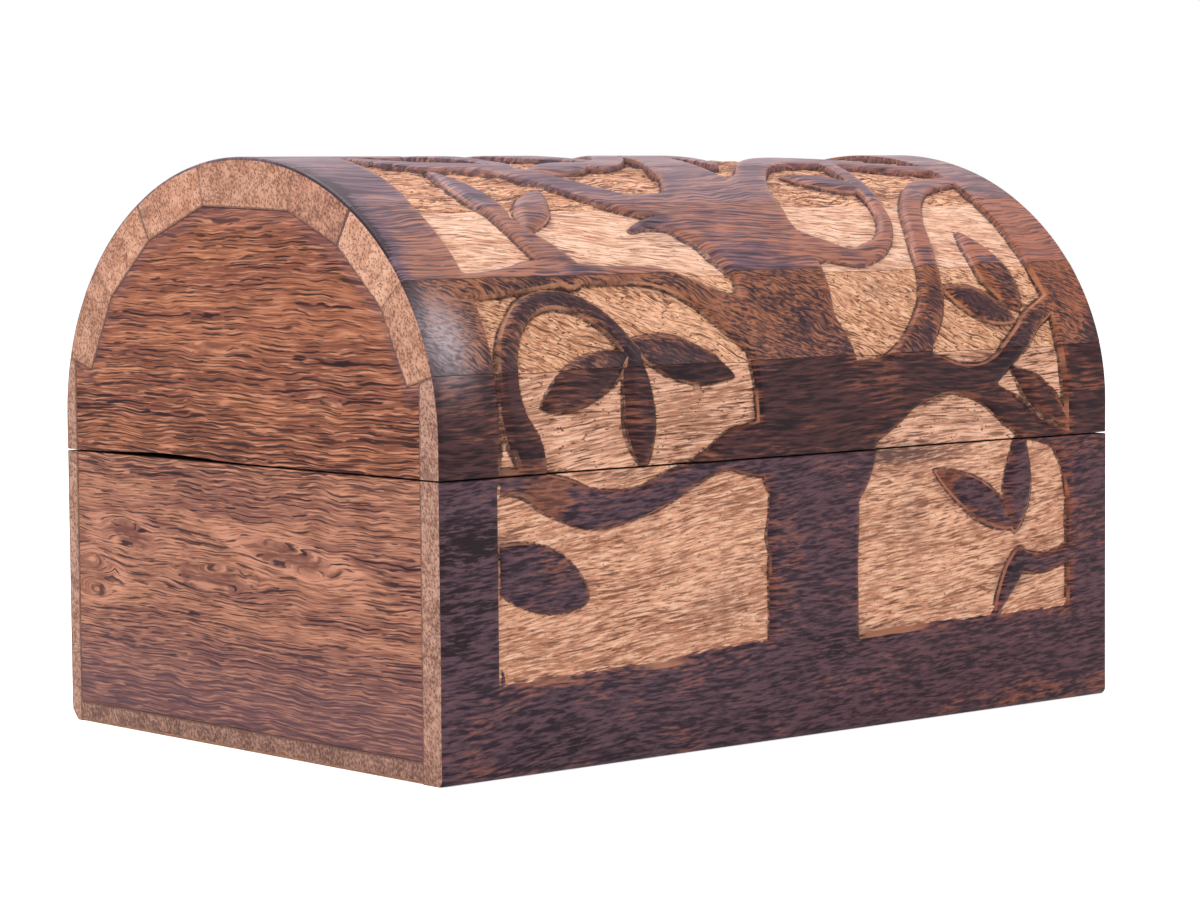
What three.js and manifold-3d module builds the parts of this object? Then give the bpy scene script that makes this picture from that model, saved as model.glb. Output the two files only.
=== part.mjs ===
import * as THREE from "three";
import { mergeVertices } from "three/addons/utils/BufferGeometryUtils.js";
import Module from "manifold-3d";

// A wooden jewelry box with a coopered dome lid. It is glued up as one closed box and sawn in two,
// so the lid's walls carry on the base's. Millimetres, +Z up, +X along the length, the carved front
// towards -Y, and the origin in the middle of the underside.

// Overall sizes
const boxLength = 203;
const boxDepth = 140;
const boxHeight = 130;
const baseHeight = 63; // the middle of the saw cut between base and lid
const lidWallHeight = 7.8; // the lid's upright wall, from the cut to where the dome springs

// Boards
const frontThickness = 7;
const backThickness = 4.5;
const bottomThickness = 4.6;
const endThickness = 9;
const staveThickness = 9.5; // at a stave's two joints, square to the dome
const railLean = 1.9; // how far a rail's outside has curved in where it ends in a stave's joint
const frontEdgeRadius = 1.6;
const backEdgeRadius = 3.4;
const staveJointShares = [0, 0.126, 0.258, 0.381, 0.587, 0.733, 0.868, 1]; // of the girth between the rails

// Clearances
const sawCut = 0.6;
const glueGap = 0.2;
const runningClearance = 0.09;
const screwClearance = 0.15;

// Hinges
const hingeWidth = 26;
const hingeEndMargin = 26.5; // from the box's end to a leaf
const leafHeight = 10.5; // from the pin's axis
const leafThickness = 1;
const barrelRadius = 1.8;
const pinRadius = 0.8;
const pinHeadRadius = 1.3;
const pinHeadLength = 0.5;
const knuckleCount = 5;
const knuckleGap = 0.2;
const screwSpacing = 15;
const screwHeadRadius = 1.5;
const screwRadius = 0.8;
const screwHeadDepth = 0.75;
const screwTipMargin = 1.1; // wood left between a screw's hole and the inside

// The carving: a tree left standing on a sunk ground, from low on the front to past the crown of the dome.
// Places are shares of the half length along X and of the girth from the front's lower edge to the crown.
// Widths are shares of the half length.
const reliefDepth = 1.6;

// Each branch is a smooth line through places of X, girth and width.
const branchShares = {
  trunk: [
    [0.05, 0.05, 0.266],
    [0.05, 0.313, 0.27],
    [0.06, 0.383, 0.355],
    [0.04, 0.476, 0.315],
    [0.03, 0.545, 0.266],
    [0.055, 0.615, 0.26],
    [0.03, 0.719, 0.345],
    [0.03, 0.754, 0.355],
    [0.06, 0.818, 0.23],
    [0.08, 0.881, 0.16],
    [0.1, 0.957, 0.12],
    [0.09, 1.032, 0.12],
  ],
  lowLeft: [
    [-0.02, 0.383, 0.16],
    [-0.2, 0.377, 0.08],
    [-0.375, 0.338, 0.06],
    [-0.473, 0.32, 0.06],
    [-0.59, 0.318, 0.08],
    [-0.68, 0.335, 0.082],
    [-0.768, 0.357, 0.054],
    [-0.887, 0.365, 0.045],
  ],
  curl: [
    [-0.76, 0.348, 0.09],
    [-0.762, 0.377, 0.092],
    [-0.8, 0.441, 0.057],
    [-0.804, 0.476, 0.051],
    [-0.794, 0.522, 0.045],
    [-0.76, 0.553, 0.043],
    [-0.7, 0.579, 0.04],
    [-0.63, 0.588, 0.038],
    [-0.56, 0.578, 0.043],
    [-0.507, 0.552, 0.041],
    [-0.453, 0.507, 0.04],
  ],
  secondLeft: [
    [-0.02, 0.533, 0.197],
    [-0.148, 0.56, 0.094],
    [-0.266, 0.607, 0.06],
    [-0.345, 0.62, 0.047],
    [-0.443, 0.623, 0.043],
    [-0.542, 0.627, 0.055],
    [-0.61, 0.629, 0.067],
    [-0.69, 0.62, 0.061],
    [-0.887, 0.614, 0.06],
  ],
  twigLeft: [
    [-0.552, 0.632, 0.09],
    [-0.576, 0.661, 0.08],
    [-0.6, 0.687, 0.06],
    [-0.62, 0.748, 0.04],
  ],
  thirdLeft: [
    [-0.02, 0.719, 0.236],
    [-0.118, 0.742, 0.138],
    [-0.236, 0.761, 0.089],
    [-0.296, 0.785, 0.085],
    [-0.414, 0.855, 0.08],
    [-0.473, 0.881, 0.072],
    [-0.552, 0.891, 0.063],
    [-0.64, 0.897, 0.065],
    [-0.72, 0.913, 0.062],
    [-0.828, 0.945, 0.06],
  ],
  thorn: [
    [-0.118, 0.696, 0.08],
    [-0.177, 0.713, 0.044],
    [-0.236, 0.712, 0.026],
    [-0.29, 0.7, 0.01],
  ],
  rising: [
    [-0.148, 0.905, 0.064],
    [-0.108, 0.931, 0.074],
    [-0.064, 0.963, 0.08],
    [0.06, 1.032, 0.09],
  ],
  limbRight: [
    [0.138, 0.418, 0.217],
    [0.236, 0.432, 0.177],
    [0.365, 0.47, 0.123],
    [0.414, 0.51, 0.073],
    [0.456, 0.539, 0.066],
    [0.49, 0.567, 0.065],
    [0.529, 0.629, 0.061],
    [0.57, 0.685, 0.053],
    [0.596, 0.716, 0.05],
    [0.629, 0.742, 0.05],
    [0.67, 0.768, 0.047],
    [0.724, 0.792, 0.047],
    [0.79, 0.805, 0.043],
    [0.897, 0.818, 0.035],
  ],
  upperRight: [
    [0.355, 0.452, 0.118],
    [0.512, 0.452, 0.064],
    [0.59, 0.452, 0.06],
    [0.65, 0.467, 0.045],
    [0.75, 0.507, 0.047],
    [0.897, 0.562, 0.035],
  ],
  lowRight: [
    [0.394, 0.446, 0.07],
    [0.542, 0.442, 0.044],
    [0.6, 0.429, 0.045],
    [0.65, 0.415, 0.054],
    [0.695, 0.396, 0.06],
    [0.74, 0.382, 0.054],
    [0.788, 0.374, 0.037],
    [0.897, 0.354, 0.05],
  ],
  sprig: [
    [0.71, 0.203, 0.044],
    [0.683, 0.182, 0.051],
    [0.653, 0.155, 0.034],
    [0.627, 0.13, 0.01],
  ],
  sprigArm: [
    [0.704, 0.199, 0.049],
    [0.768, 0.193, 0.043],
    [0.828, 0.196, 0.04],
    [0.906, 0.21, 0.035],
  ],
  ovalStem: [
    [0.08, 0.673, 0.197],
    [0.167, 0.664, 0.108],
    [0.315, 0.641, 0.045],
    [0.394, 0.653, 0.045],
    [0.443, 0.67, 0.038],
    [0.499, 0.712, 0.034],
    [0.538, 0.789, 0.044],
    [0.567, 0.858, 0.043],
    [0.586, 0.905, 0.05],
  ],
  overOval: [
    [0.118, 0.765, 0.158],
    [0.187, 0.8, 0.089],
    [0.236, 0.829, 0.071],
    [0.296, 0.866, 0.069],
    [0.355, 0.898, 0.073],
    [0.424, 0.919, 0.079],
    [0.493, 0.924, 0.079],
    [0.571, 0.915, 0.069],
    [0.64, 0.903, 0.059],
    [0.778, 0.87, 0.044],
    [0.897, 0.863, 0.04],
  ],
};

// Each leaf is X and girth at its stalk, X and girth at its tip, and its width.
const leafShares = [
  [-0.468, 0.51, -0.719, 0.445, 0.095],
  [-0.463, 0.525, -0.175, 0.473, 0.097],
  [-0.455, 0.513, -0.449, 0.345, 0.073],
  [-0.609, 0.728, -0.648, 0.874, 0.075],
  [-0.596, 0.699, -0.436, 0.799, 0.079],
  [-0.138, 0.91, -0.377, 0.868, 0.085],
  [0.655, 0.455, 0.862, 0.377, 0.075],
  [0.764, 0.548, 0.701, 0.684, 0.1],
  [0.739, 0.531, 0.538, 0.587, 0.079],
  [0.557, 0.789, 0.351, 0.833, 0.081],
  [0.69, 0.246, 0.427, 0.332, 0.077],
  [0.693, 0.239, 0.715, 0.377, 0.083],
  [-0.916, 0.267, -0.603, 0.209, 0.15],
];

// The edge of the sunk ground, round from its lower left corner.
const groundShares = [
  [-0.847, 0.107],
  [-0.25, 0.119],
  [-0.09, 0.127],
  [0.18, 0.119],
  [0.872, 0.123],
  [0.869, 0.435],
  [0.857, 0.638],
  [0.867, 0.84],
  [0.857, 0.957],
  [0.857, 1.195],
  [-0.793, 1.195],
  [-0.793, 0.957],
  [-0.833, 0.754],
  [-0.84, 0.522],
];

// Cutters run past the pieces that they cut by this much.
const overrun = 3;

// Facets
const facetLength = 4;
const branchStep = 3.6;
const leafSegments = 6;
const edgeSegments = 4;
const roundSegments = 24;
const screwSegments = 16;

const halfLength = boxLength / 2;
const halfDepth = boxDepth / 2;
const springHeight = baseHeight + lidWallHeight;
const domeRise = boxHeight - springHeight;
const baseTop = baseHeight - sawCut / 2;
const lidFoot = baseHeight + sawCut / 2;
const frontInside = -halfDepth + frontThickness;
const backInside = halfDepth - backThickness;

const wasm = await Module();
wasm.setup();

function solidOf(geometry) {
  const bare = geometry.clone();
  bare.deleteAttribute("normal");
  bare.deleteAttribute("uv");
  const merged = mergeVertices(bare);
  return new wasm.Manifold(
    new wasm.Mesh({
      numProp: 3,
      vertProperties: merged.attributes.position.array,
      triVerts: new Uint32Array(merged.index.array),
    }),
  );
}

function geometryOf(solid) {
  const mesh = solid.getMesh();
  const geometry = new THREE.BufferGeometry();
  geometry.setAttribute("position", new THREE.BufferAttribute(mesh.vertProperties, mesh.numProp));
  geometry.setIndex(new THREE.BufferAttribute(mesh.triVerts, 1));
  geometry.computeVertexNormals();
  return geometry;
}

function joined(...geometries) {
  return geometryOf(geometries.map(solidOf).reduce((whole, piece) => whole.add(piece)));
}

function cut(geometry, ...cutters) {
  const left = cutters.map(solidOf).reduce((solid, cutter) => solid.subtract(cutter), solidOf(geometry));
  return geometryOf(left);
}

// The section of the box, seen along +X: an upright wall, half an ellipse and an upright wall again.
// A place on it goes by its girth, the way along the section from the front's lower edge.
const frontFoot = new THREE.Vector2(-halfDepth, 0);
const frontSpring = new THREE.Vector2(-halfDepth, springHeight);
const backSpring = new THREE.Vector2(halfDepth, springHeight);
const backFoot = new THREE.Vector2(halfDepth, 0);
const dome = new THREE.EllipseCurve(0, springHeight, halfDepth, domeRise, Math.PI, 0, true);
dome.arcLengthDivisions = 800;
const section = new THREE.CurvePath();
section.add(new THREE.LineCurve(frontFoot, frontSpring));
section.add(dome);
section.add(new THREE.LineCurve(backSpring, backFoot));
const wholeGirth = section.getLength();
const railAngle = Math.PI - Math.acos(1 - railLean / halfDepth);
const railArc = new THREE.EllipseCurve(0, springHeight, halfDepth, domeRise, Math.PI, railAngle, true);
const frontRailTop = springHeight + railArc.getLength();
const backRailTop = wholeGirth - frontRailTop;
const jointGirths = staveJointShares.map((share) => frontRailTop + share * (backRailTop - frontRailTop));

// The point that lies a depth inside the section's outer line, square to it.
function insetPoint(girth, depth) {
  const share = girth / wholeGirth;
  const along = section.getTangent(share);
  return section.getPoint(share).add(new THREE.Vector2(along.y, -along.x).multiplyScalar(depth));
}

function outerPoints(from, to, depth = 0) {
  const steps = Math.max(1, Math.round((to - from) / facetLength));
  return Array.from({ length: steps + 1 }, (_, i) => insetPoint(from + ((to - from) * i) / steps, depth));
}

// Where the joint at this girth crosses an upright plane inside the wall.
function jointAtPlane(girth, plane) {
  const outer = insetPoint(girth, 0);
  const inner = insetPoint(girth, staveThickness);
  const share = (plane - outer.x) / (inner.x - outer.x);
  return outer.lerp(inner, share);
}

// A solid with a section in Y and Z that runs along X for the box's whole length.
function lengthwise(shape, length = boxLength) {
  const geometry = new THREE.ExtrudeGeometry(shape, {
    depth: length,
    bevelEnabled: false,
    curveSegments: edgeSegments,
  });
  geometry.translate(0, 0, -length / 2);
  const upright = new THREE.Matrix4().makeBasis(
    new THREE.Vector3(0, 1, 0),
    new THREE.Vector3(0, 0, 1),
    new THREE.Vector3(1, 0, 0),
  );
  return geometry.applyMatrix4(upright);
}

// Flat outlines of the carving, with X across and the girth up.
const crownGirth = wholeGirth / 2;

function branchShape(placeShares) {
  const places = placeShares.map(
    ([x, girth, width]) => new THREE.Vector3(x * halfLength, girth * crownGirth, width * halfLength),
  );
  const line = new THREE.CatmullRomCurve3(places, false, "centripetal");
  const steps = Math.round(line.getLength() / branchStep);
  const left = [];
  const right = [];
  for (let i = 0; i <= steps; i++) {
    const at = line.getPointAt(i / steps);
    const along = line.getTangentAt(i / steps);
    const out = new THREE.Vector2(-along.y, along.x).setLength(at.z / 2);
    left.push(new THREE.Vector2(at.x, at.y).add(out));
    right.unshift(new THREE.Vector2(at.x, at.y).sub(out));
  }
  return new THREE.Shape([...left, ...right]);
}

function leafShape([stalkX, stalkGirth, tipX, tipGirth, width]) {
  const stalk = new THREE.Vector2(stalkX * halfLength, stalkGirth * crownGirth);
  const tip = new THREE.Vector2(tipX * halfLength, tipGirth * crownGirth);
  const middle = stalk.clone().add(tip).divideScalar(2);
  const along = tip.clone().sub(stalk);
  const out = new THREE.Vector2(-along.y, along.x).setLength(width * halfLength);
  const shape = new THREE.Shape();
  shape.moveTo(stalk.x, stalk.y);
  shape.quadraticCurveTo(middle.x + out.x, middle.y + out.y, tip.x, tip.y);
  shape.quadraticCurveTo(middle.x - out.x, middle.y - out.y, stalk.x, stalk.y);
  return shape;
}

const groundShape = new THREE.Shape(
  groundShares.map(([x, girth]) => new THREE.Vector2(x * halfLength, girth * crownGirth)),
);
const standingShapes = [...Object.values(branchShares).map(branchShape), ...leafShares.map(leafShape)];

// A board or stave with the ground between the branches sunk to a line that keeps one depth below the
// section. The flat outlines stand on the board's middle and lean with its two joints, so that they meet
// the next board's.
function carved(board, from, to) {
  const middle = (from + to) / 2;
  const face = insetPoint(middle, 0);
  const along = section.getTangent(middle / wholeGirth);
  const out = new THREE.Vector2(-along.y, along.x);
  const onFace = new THREE.Matrix4().makeBasis(
    new THREE.Vector3(1, 0, 0),
    new THREE.Vector3(0, along.x, along.y),
    new THREE.Vector3(0, out.x, out.y),
  );
  const joints = [from, to].map((girth) => {
    const [outer, inner] = [0, staveThickness].map((depth) => insetPoint(girth, depth).sub(face));
    const lean = inner.clone().sub(outer);
    const slope = lean.dot(along) / lean.dot(out);
    return (height) => (outer.dot(along) + slope * (height - outer.dot(out))) / (girth - middle);
  });
  function upright(shape) {
    const geometry = new THREE.ExtrudeGeometry(shape, {
      depth: 2 * staveThickness,
      bevelEnabled: false,
      curveSegments: leafSegments,
    });
    geometry.translate(0, -middle, -staveThickness);
    const places = geometry.attributes.position;
    for (let i = 0; i < places.count; i++) {
      const joint = joints[places.getY(i) < 0 ? 0 : 1];
      places.setY(i, places.getY(i) * joint(places.getZ(i)));
    }
    return solidOf(geometry.applyMatrix4(onFace).translate(0, face.x, face.y));
  }
  const start = Math.max(0, from - overrun);
  const ground = outerPoints(start, to + overrun, reliefDepth);
  const sky = outerPoints(start, to + overrun, -overrun);
  const layer = solidOf(lengthwise(new THREE.Shape([...ground, ...sky.reverse()])));
  const waste = standingShapes.reduce((left, shape) => left.subtract(upright(shape)), upright(groundShape));
  return geometryOf(solidOf(board).subtract(waste.intersect(layer)));
}

function finish(colour, roughness, metalness = 0) {
  return () => new THREE.MeshStandardMaterial({ color: colour, roughness, metalness });
}

const finishes = {
  carvedWood: finish("#6a4432", 0.5),
  endWood: finish("#9a5f3b", 0.6),
  plainWood: finish("#7a4d36", 0.55),
  brass: finish("#8f713d", 0.4, 0.9),
};

function piece(name, geometry, material) {
  const mesh = new THREE.Mesh(geometry, material());
  mesh.name = name;
  return mesh;
}

// The base's long walls stand on the floor beside the bottom board, each with its outer foot rounded.
function baseWall(outerPlane, innerPlane, radius) {
  const inwards = Math.sign(innerPlane - outerPlane);
  const middle = outerPlane + inwards * radius;
  const shape = new THREE.Shape();
  shape.moveTo(innerPlane, 0);
  shape.lineTo(innerPlane, baseTop);
  shape.lineTo(outerPlane, baseTop);
  shape.lineTo(outerPlane, radius);
  const start = inwards > 0 ? Math.PI : 0;
  shape.absarc(middle, radius, radius, start, -Math.PI / 2, inwards < 0);
  shape.closePath();
  return lengthwise(shape);
}

function bottomBoard() {
  const depth = backInside - frontInside - 2 * glueGap;
  const geometry = new THREE.BoxGeometry(boxLength, depth, bottomThickness);
  return geometry.translate(0, (backInside + frontInside) / 2, bottomThickness / 2);
}

// An end panel of the base fills the space between the long walls, on top of the bottom board.
function baseEnd() {
  const foot = bottomThickness + glueGap;
  const depth = backInside - frontInside - 2 * glueGap;
  const geometry = new THREE.BoxGeometry(endThickness, depth, baseTop - foot);
  return geometry.translate(0, (backInside + frontInside) / 2, (baseTop + foot) / 2);
}

// A rail is the lid's share of a long wall: it follows the section and ends in the lowest stave's joint.
function frontRail() {
  const top = frontRailTop - glueGap / 2;
  const points = outerPoints(lidFoot, top);
  points.push(jointAtPlane(top, frontInside), new THREE.Vector2(frontInside, lidFoot));
  return lengthwise(new THREE.Shape(points));
}

function backRail() {
  const top = backRailTop + glueGap / 2;
  const points = outerPoints(top, wholeGirth - lidFoot);
  points.push(new THREE.Vector2(backInside, lidFoot), jointAtPlane(top, backInside));
  return lengthwise(new THREE.Shape(points));
}

// A stave is round outside and flat inside, and its two joints stand square to the dome.
function stave(index) {
  const from = jointGirths[index] + glueGap / 2;
  const to = jointGirths[index + 1] - glueGap / 2;
  const points = outerPoints(from, to);
  points.push(insetPoint(to, staveThickness), insetPoint(from, staveThickness));
  return lengthwise(new THREE.Shape(points));
}

// The lid's end panels fit between the rails, with a top that follows the staves' flat undersides.
function lidEnd() {
  const front = frontInside + glueGap;
  const back = backInside - glueGap;
  const depth = staveThickness + glueGap;
  const frontTop = frontRailTop - glueGap;
  const backTop = backRailTop + glueGap;
  const points = [
    new THREE.Vector2(front, lidFoot),
    jointAtPlane(frontTop, front),
    insetPoint(frontTop, depth),
    ...jointGirths.slice(1, -1).map((girth) => insetPoint(girth, depth)),
    insetPoint(backTop, depth),
    jointAtPlane(backTop, back),
    new THREE.Vector2(back, lidFoot),
  ];
  return lengthwise(new THREE.Shape(points), endThickness);
}

// The hinges lie on the outside of the back. Their own origin is in the middle of the pin, with the
// back towards -Y and the base's leaf down.
const hingeAxis = halfDepth + glueGap + barrelRadius;
const pinHoleRadius = pinRadius + runningClearance;
const leafFoot = barrelRadius + knuckleGap;
const screwDrop = (leafHeight + leafFoot) / 2;
const screwLength = backThickness - screwTipMargin + leafThickness;
const knuckleLength = (hingeWidth - knuckleGap * (knuckleCount - 1)) / knuckleCount;

function alongX(radius, length, segments = roundSegments) {
  return new THREE.CylinderGeometry(radius, radius, length, segments).rotateZ(Math.PI / 2);
}

// A round solid turned about Y, from its face at zero towards -Y.
function turnedIntoBack(profile) {
  const points = profile.map(([radius, depth]) => new THREE.Vector2(radius, -depth));
  return new THREE.LatheGeometry(points.reverse(), screwSegments);
}

function screwProfile(clearance, length) {
  return [
    [0, -clearance],
    [screwHeadRadius + clearance, -clearance],
    [screwHeadRadius + clearance, clearance],
    [screwRadius + clearance, screwHeadDepth + clearance],
    [screwRadius + clearance, length],
    [0, length],
  ];
}

function screw() {
  const [top, rim, , shank, , end] = screwProfile(0, screwLength);
  return turnedIntoBack([top, rim, shank, [screwRadius, screwLength - screwRadius], end]);
}

function screwHole() {
  return turnedIntoBack(screwProfile(screwClearance, screwLength + screwClearance));
}

const leafFace = leafThickness - barrelRadius;
const screwPlaces = [-screwSpacing / 2, screwSpacing / 2];

// A leaf is a plate with every other knuckle, rolled over the pin.
function leaf(firstKnuckle) {
  const plateHeight = leafHeight - leafFoot;
  const plate = new THREE.BoxGeometry(hingeWidth, leafThickness, plateHeight);
  plate.translate(0, leafFace - leafThickness / 2, -leafFoot - plateHeight / 2);
  const solids = [plate];
  for (let i = firstKnuckle; i < knuckleCount; i += 2) {
    const middle = (knuckleLength + knuckleGap) * i + knuckleLength / 2 - hingeWidth / 2;
    const neck = new THREE.BoxGeometry(knuckleLength, leafThickness, leafFoot + leafThickness);
    neck.translate(middle, leafFace - leafThickness / 2, -(leafFoot + leafThickness) / 2);
    solids.push(neck, alongX(barrelRadius, knuckleLength).translate(middle, 0, 0));
  }
  const holes = screwPlaces.map((x) => screwHole().translate(x, leafFace, -screwDrop));
  return cut(joined(...solids), alongX(pinHoleRadius, hingeWidth + overrun), ...holes);
}

function pin() {
  const end = hingeWidth / 2 + runningClearance;
  const tip = end + pinHeadLength;
  const profile = [
    [0, -tip],
    [pinHeadRadius, -tip],
    [pinHeadRadius, -end],
    [pinRadius, -end],
    [pinRadius, end],
    [pinHeadRadius, end],
    [pinHeadRadius, tip],
    [0, tip],
  ].map(([radius, place]) => new THREE.Vector2(radius, place));
  return new THREE.LatheGeometry(profile, roundSegments).rotateZ(Math.PI / 2);
}

const hingeReach = halfLength - hingeEndMargin - hingeWidth / 2;
const hingePlaces = { left: -hingeReach, right: hingeReach };

// The screws' holes in a wall that carries hinge leaves. The side is -1 below the pin and 1 above it.
function drilled(wall, side) {
  const height = baseHeight + side * screwDrop;
  const holes = Object.values(hingePlaces).flatMap((place) =>
    screwPlaces.map((x) => screwHole().translate(place + x, hingeAxis + leafFace, height)),
  );
  return cut(wall, ...holes);
}

function hinge(side) {
  const group = new THREE.Group();
  group.position.set(hingePlaces[side], hingeAxis, baseHeight);
  group.add(piece(`hinge_base_leaf_${side}`, leaf(0), finishes.brass));
  const lidHalf = new THREE.Group();
  lidHalf.rotation.y = Math.PI;
  lidHalf.add(piece(`hinge_lid_leaf_${side}`, leaf(1), finishes.brass));
  group.add(lidHalf, piece(`hinge_pin_${side}`, pin(), finishes.brass));
  for (const [half, leafName] of [
    [group, "base"],
    [lidHalf, "lid"],
  ])
    screwPlaces.forEach((x, i) => {
      const mesh = piece(`hinge_${leafName}_screw_${side}_${i + 1}`, screw(), finishes.brass);
      mesh.position.set(x, leafFace, -screwDrop);
      half.add(mesh);
    });
  return group;
}

function base() {
  const group = new THREE.Group();
  const front = carved(baseWall(-halfDepth, frontInside, frontEdgeRadius), 0, baseTop);
  group.add(
    piece("front_board", front, finishes.carvedWood),
    piece("back_board", drilled(baseWall(halfDepth, backInside, backEdgeRadius), -1), finishes.plainWood),
    piece("bottom_board", bottomBoard(), finishes.plainWood),
  );
  for (const [name, side] of [
    ["left", -1],
    ["right", 1],
  ]) {
    const end = piece(`${name}_end_panel`, baseEnd(), finishes.endWood);
    end.position.x = (side * (boxLength - endThickness)) / 2;
    group.add(end);
  }
  return group;
}

function lid() {
  const group = new THREE.Group();
  group.add(
    piece("lid_front_rail", carved(frontRail(), lidFoot, frontRailTop), finishes.carvedWood),
    piece("lid_back_rail", drilled(backRail(), 1), finishes.plainWood),
  );
  for (let i = 0; i < jointGirths.length - 1; i++) {
    const wood = carved(stave(i), jointGirths[i], jointGirths[i + 1]);
    group.add(piece(`lid_stave_${i + 1}`, wood, finishes.carvedWood));
  }
  for (const [name, side] of [
    ["left", -1],
    ["right", 1],
  ]) {
    const end = piece(`lid_${name}_end_panel`, lidEnd(), finishes.endWood);
    end.position.x = (side * (boxLength - endThickness)) / 2;
    group.add(end);
  }
  return group;
}

const jewelryBox = new THREE.Group();
jewelryBox.add(base(), lid(), hinge("left"), hinge("right"));

export default jewelryBox;
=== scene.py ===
"""Looks for the jewelry box: a glued-up box with a coopered dome lid and a tree carved across its front."""

import math
from functools import partialmethod

import bpy
import numpy as np
from mathutils import Matrix, Vector


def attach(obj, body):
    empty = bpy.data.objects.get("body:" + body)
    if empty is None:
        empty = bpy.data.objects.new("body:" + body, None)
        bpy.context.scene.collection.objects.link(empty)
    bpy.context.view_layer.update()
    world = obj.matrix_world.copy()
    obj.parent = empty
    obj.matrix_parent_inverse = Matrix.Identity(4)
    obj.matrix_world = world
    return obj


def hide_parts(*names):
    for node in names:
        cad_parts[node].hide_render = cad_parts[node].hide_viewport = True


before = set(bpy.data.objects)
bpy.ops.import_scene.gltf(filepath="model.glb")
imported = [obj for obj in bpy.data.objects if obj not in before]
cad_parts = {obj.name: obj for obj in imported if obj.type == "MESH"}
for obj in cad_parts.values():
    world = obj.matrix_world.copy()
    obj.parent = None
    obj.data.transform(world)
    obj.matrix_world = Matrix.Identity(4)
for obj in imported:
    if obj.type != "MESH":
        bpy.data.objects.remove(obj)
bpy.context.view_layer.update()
scene = bpy.context.scene

MM = 0.001

# The box, in millimetres, as the source of the solids has it.
HALF_LENGTH, HALF_DEPTH = 101.5, 70
SPRING, RISE, CUT = 70.8, 59.2, 63
FRONT_THICKNESS, BACK_THICKNESS, BOTTOM_THICKNESS = 7, 4.5, 4.6
END_THICKNESS, STAVE_THICKNESS = 9, 9.5
RAIL_LEAN = 1.9
FRONT_FOOT, BACK_FOOT = 1.6, 3.4
JOINT_SHARES = (0, 0.126, 0.258, 0.381, 0.587, 0.733, 0.868, 1)
FRONT_INSIDE = FRONT_THICKNESS - HALF_DEPTH
BACK_INSIDE = HALF_DEPTH - BACK_THICKNESS

# Half the saw cut, and half a glue line.
KERF, GLUE = 0.18, 0.05
BASE_TOP = CUT - KERF
LID_FOOT = CUT + KERF

# How far apart the places of a grid are, and how many lie closer together at each of its ends.
CELL, PLAIN_CELL = 0.42, 2.0
CLOSE = 5
# How far the ends, the edges and the glued edges of the boards are eased.
END_EASE, EDGE_EASE, JOINT_EASE = 0.7, 0.25, 0.12

# The carving. Its ground is cut deeper on the lid than on the base.
RELIEF_GIRTHS = (0, 60, 90, 150)
RELIEF_DEPTHS = (1.2, 1.25, 1.6, 1.7)
WALL = 0.4  # how far a wall leans over on the ground
# How wide the raised edges are rounded, how deep on the border and how much deeper on the tree. It halves
# between two girths.
ROUNDING, BORDER_DROP, TREE_DROP = 1.3, 0.25, 0.3
SHOULDER, CROWN = 120, 140
LEAF_DROP, LEAF_RIM = 0.35, 2.2  # how far a leaf falls to its edge, and over how wide a rim
REACH = 7.0  # how far from a branch or leaf the distances matter
# Layers of lumps: size along and across, seed and height. The first make the outlines uneven, and the
# second are chisel marks, which grow between two girths.
OUTLINE_LAYERS = [(5, 5, 1, 0.22), (1.7, 1.7, 2, 0.04)]
CHISEL_LAYERS = [(9, 3.4, 4, 0.34), (3.2, 1.3, 5, 0.18)]
ROUGHER = (126, 150)

# The section, seen along +X, by girth: an upright wall, half an ellipse and a wall.
angle = np.linspace(np.pi, 0, 4001)
arc_y, arc_z = HALF_DEPTH * np.cos(angle), SPRING + RISE * np.sin(angle)
steps = np.hypot(*np.diff([arc_y, arc_z]))
arc_girth = SPRING + np.concatenate([[0], np.cumsum(steps)])
WHOLE_GIRTH = arc_girth[-1] + SPRING
lean = np.stack([-np.cos(angle) / HALF_DEPTH, -np.sin(angle) / RISE])
lean /= np.hypot(*lean)
girths = np.concatenate([[0], arc_girth, [WHOLE_GIRTH]])
places = np.hstack([
    [[-HALF_DEPTH], [0], [1], [0]], np.stack([arc_y, arc_z, *lean]), [[HALF_DEPTH], [0], [-1], [0]]])


def section(girth, depth=0.0):
    """Y and Z of the point at a girth, a depth inside the outer line."""
    y, z, ny, nz = (np.interp(girth, girths, row) for row in places)
    return y + ny * depth, z + nz * depth


FRONT_RAIL_TOP = float(np.interp(-HALF_DEPTH + RAIL_LEAN, arc_y, arc_girth))
BACK_RAIL_TOP = WHOLE_GIRTH - FRONT_RAIL_TOP
JOINTS = [FRONT_RAIL_TOP + share * (BACK_RAIL_TOP - FRONT_RAIL_TOP) for share in JOINT_SHARES]


def at_plane(girth, plane):
    """Where the joint at a girth crosses an upright plane inside the wall."""
    (y0, z0), (y1, z1) = section(girth), section(girth, STAVE_THICKNESS)
    share = (plane - y0) / (y1 - y0)
    return plane, z0 + share * (z1 - z0)


def smooth(value, low=0.0, high=1.0):
    """From 0 at low to 1 at high, with no corner."""
    t = np.clip((value - low) / (high - low), 0, 1)
    return t * t * (3 - 2 * t)


def lumps(x, s, size_x, size_s, seed):
    """Smooth random values from 0 to 1 on a grid, with lumps of a size along each axis."""

    def weights(grid, size):
        place = (grid + HALF_LENGTH) / size
        cell = np.floor(place).astype(int)
        table = np.zeros((len(grid), int((WHOLE_GIRTH + 2 * HALF_LENGTH) / size) + 2))
        t = smooth(place - cell)
        table[np.arange(len(grid)), cell] = 1 - t
        table[np.arange(len(grid)), cell + 1] += t
        return table

    wx, ws = weights(x, size_x), weights(s, size_s)
    return wx @ np.random.default_rng(seed).random((wx.shape[1], ws.shape[1])) @ ws.T


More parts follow.
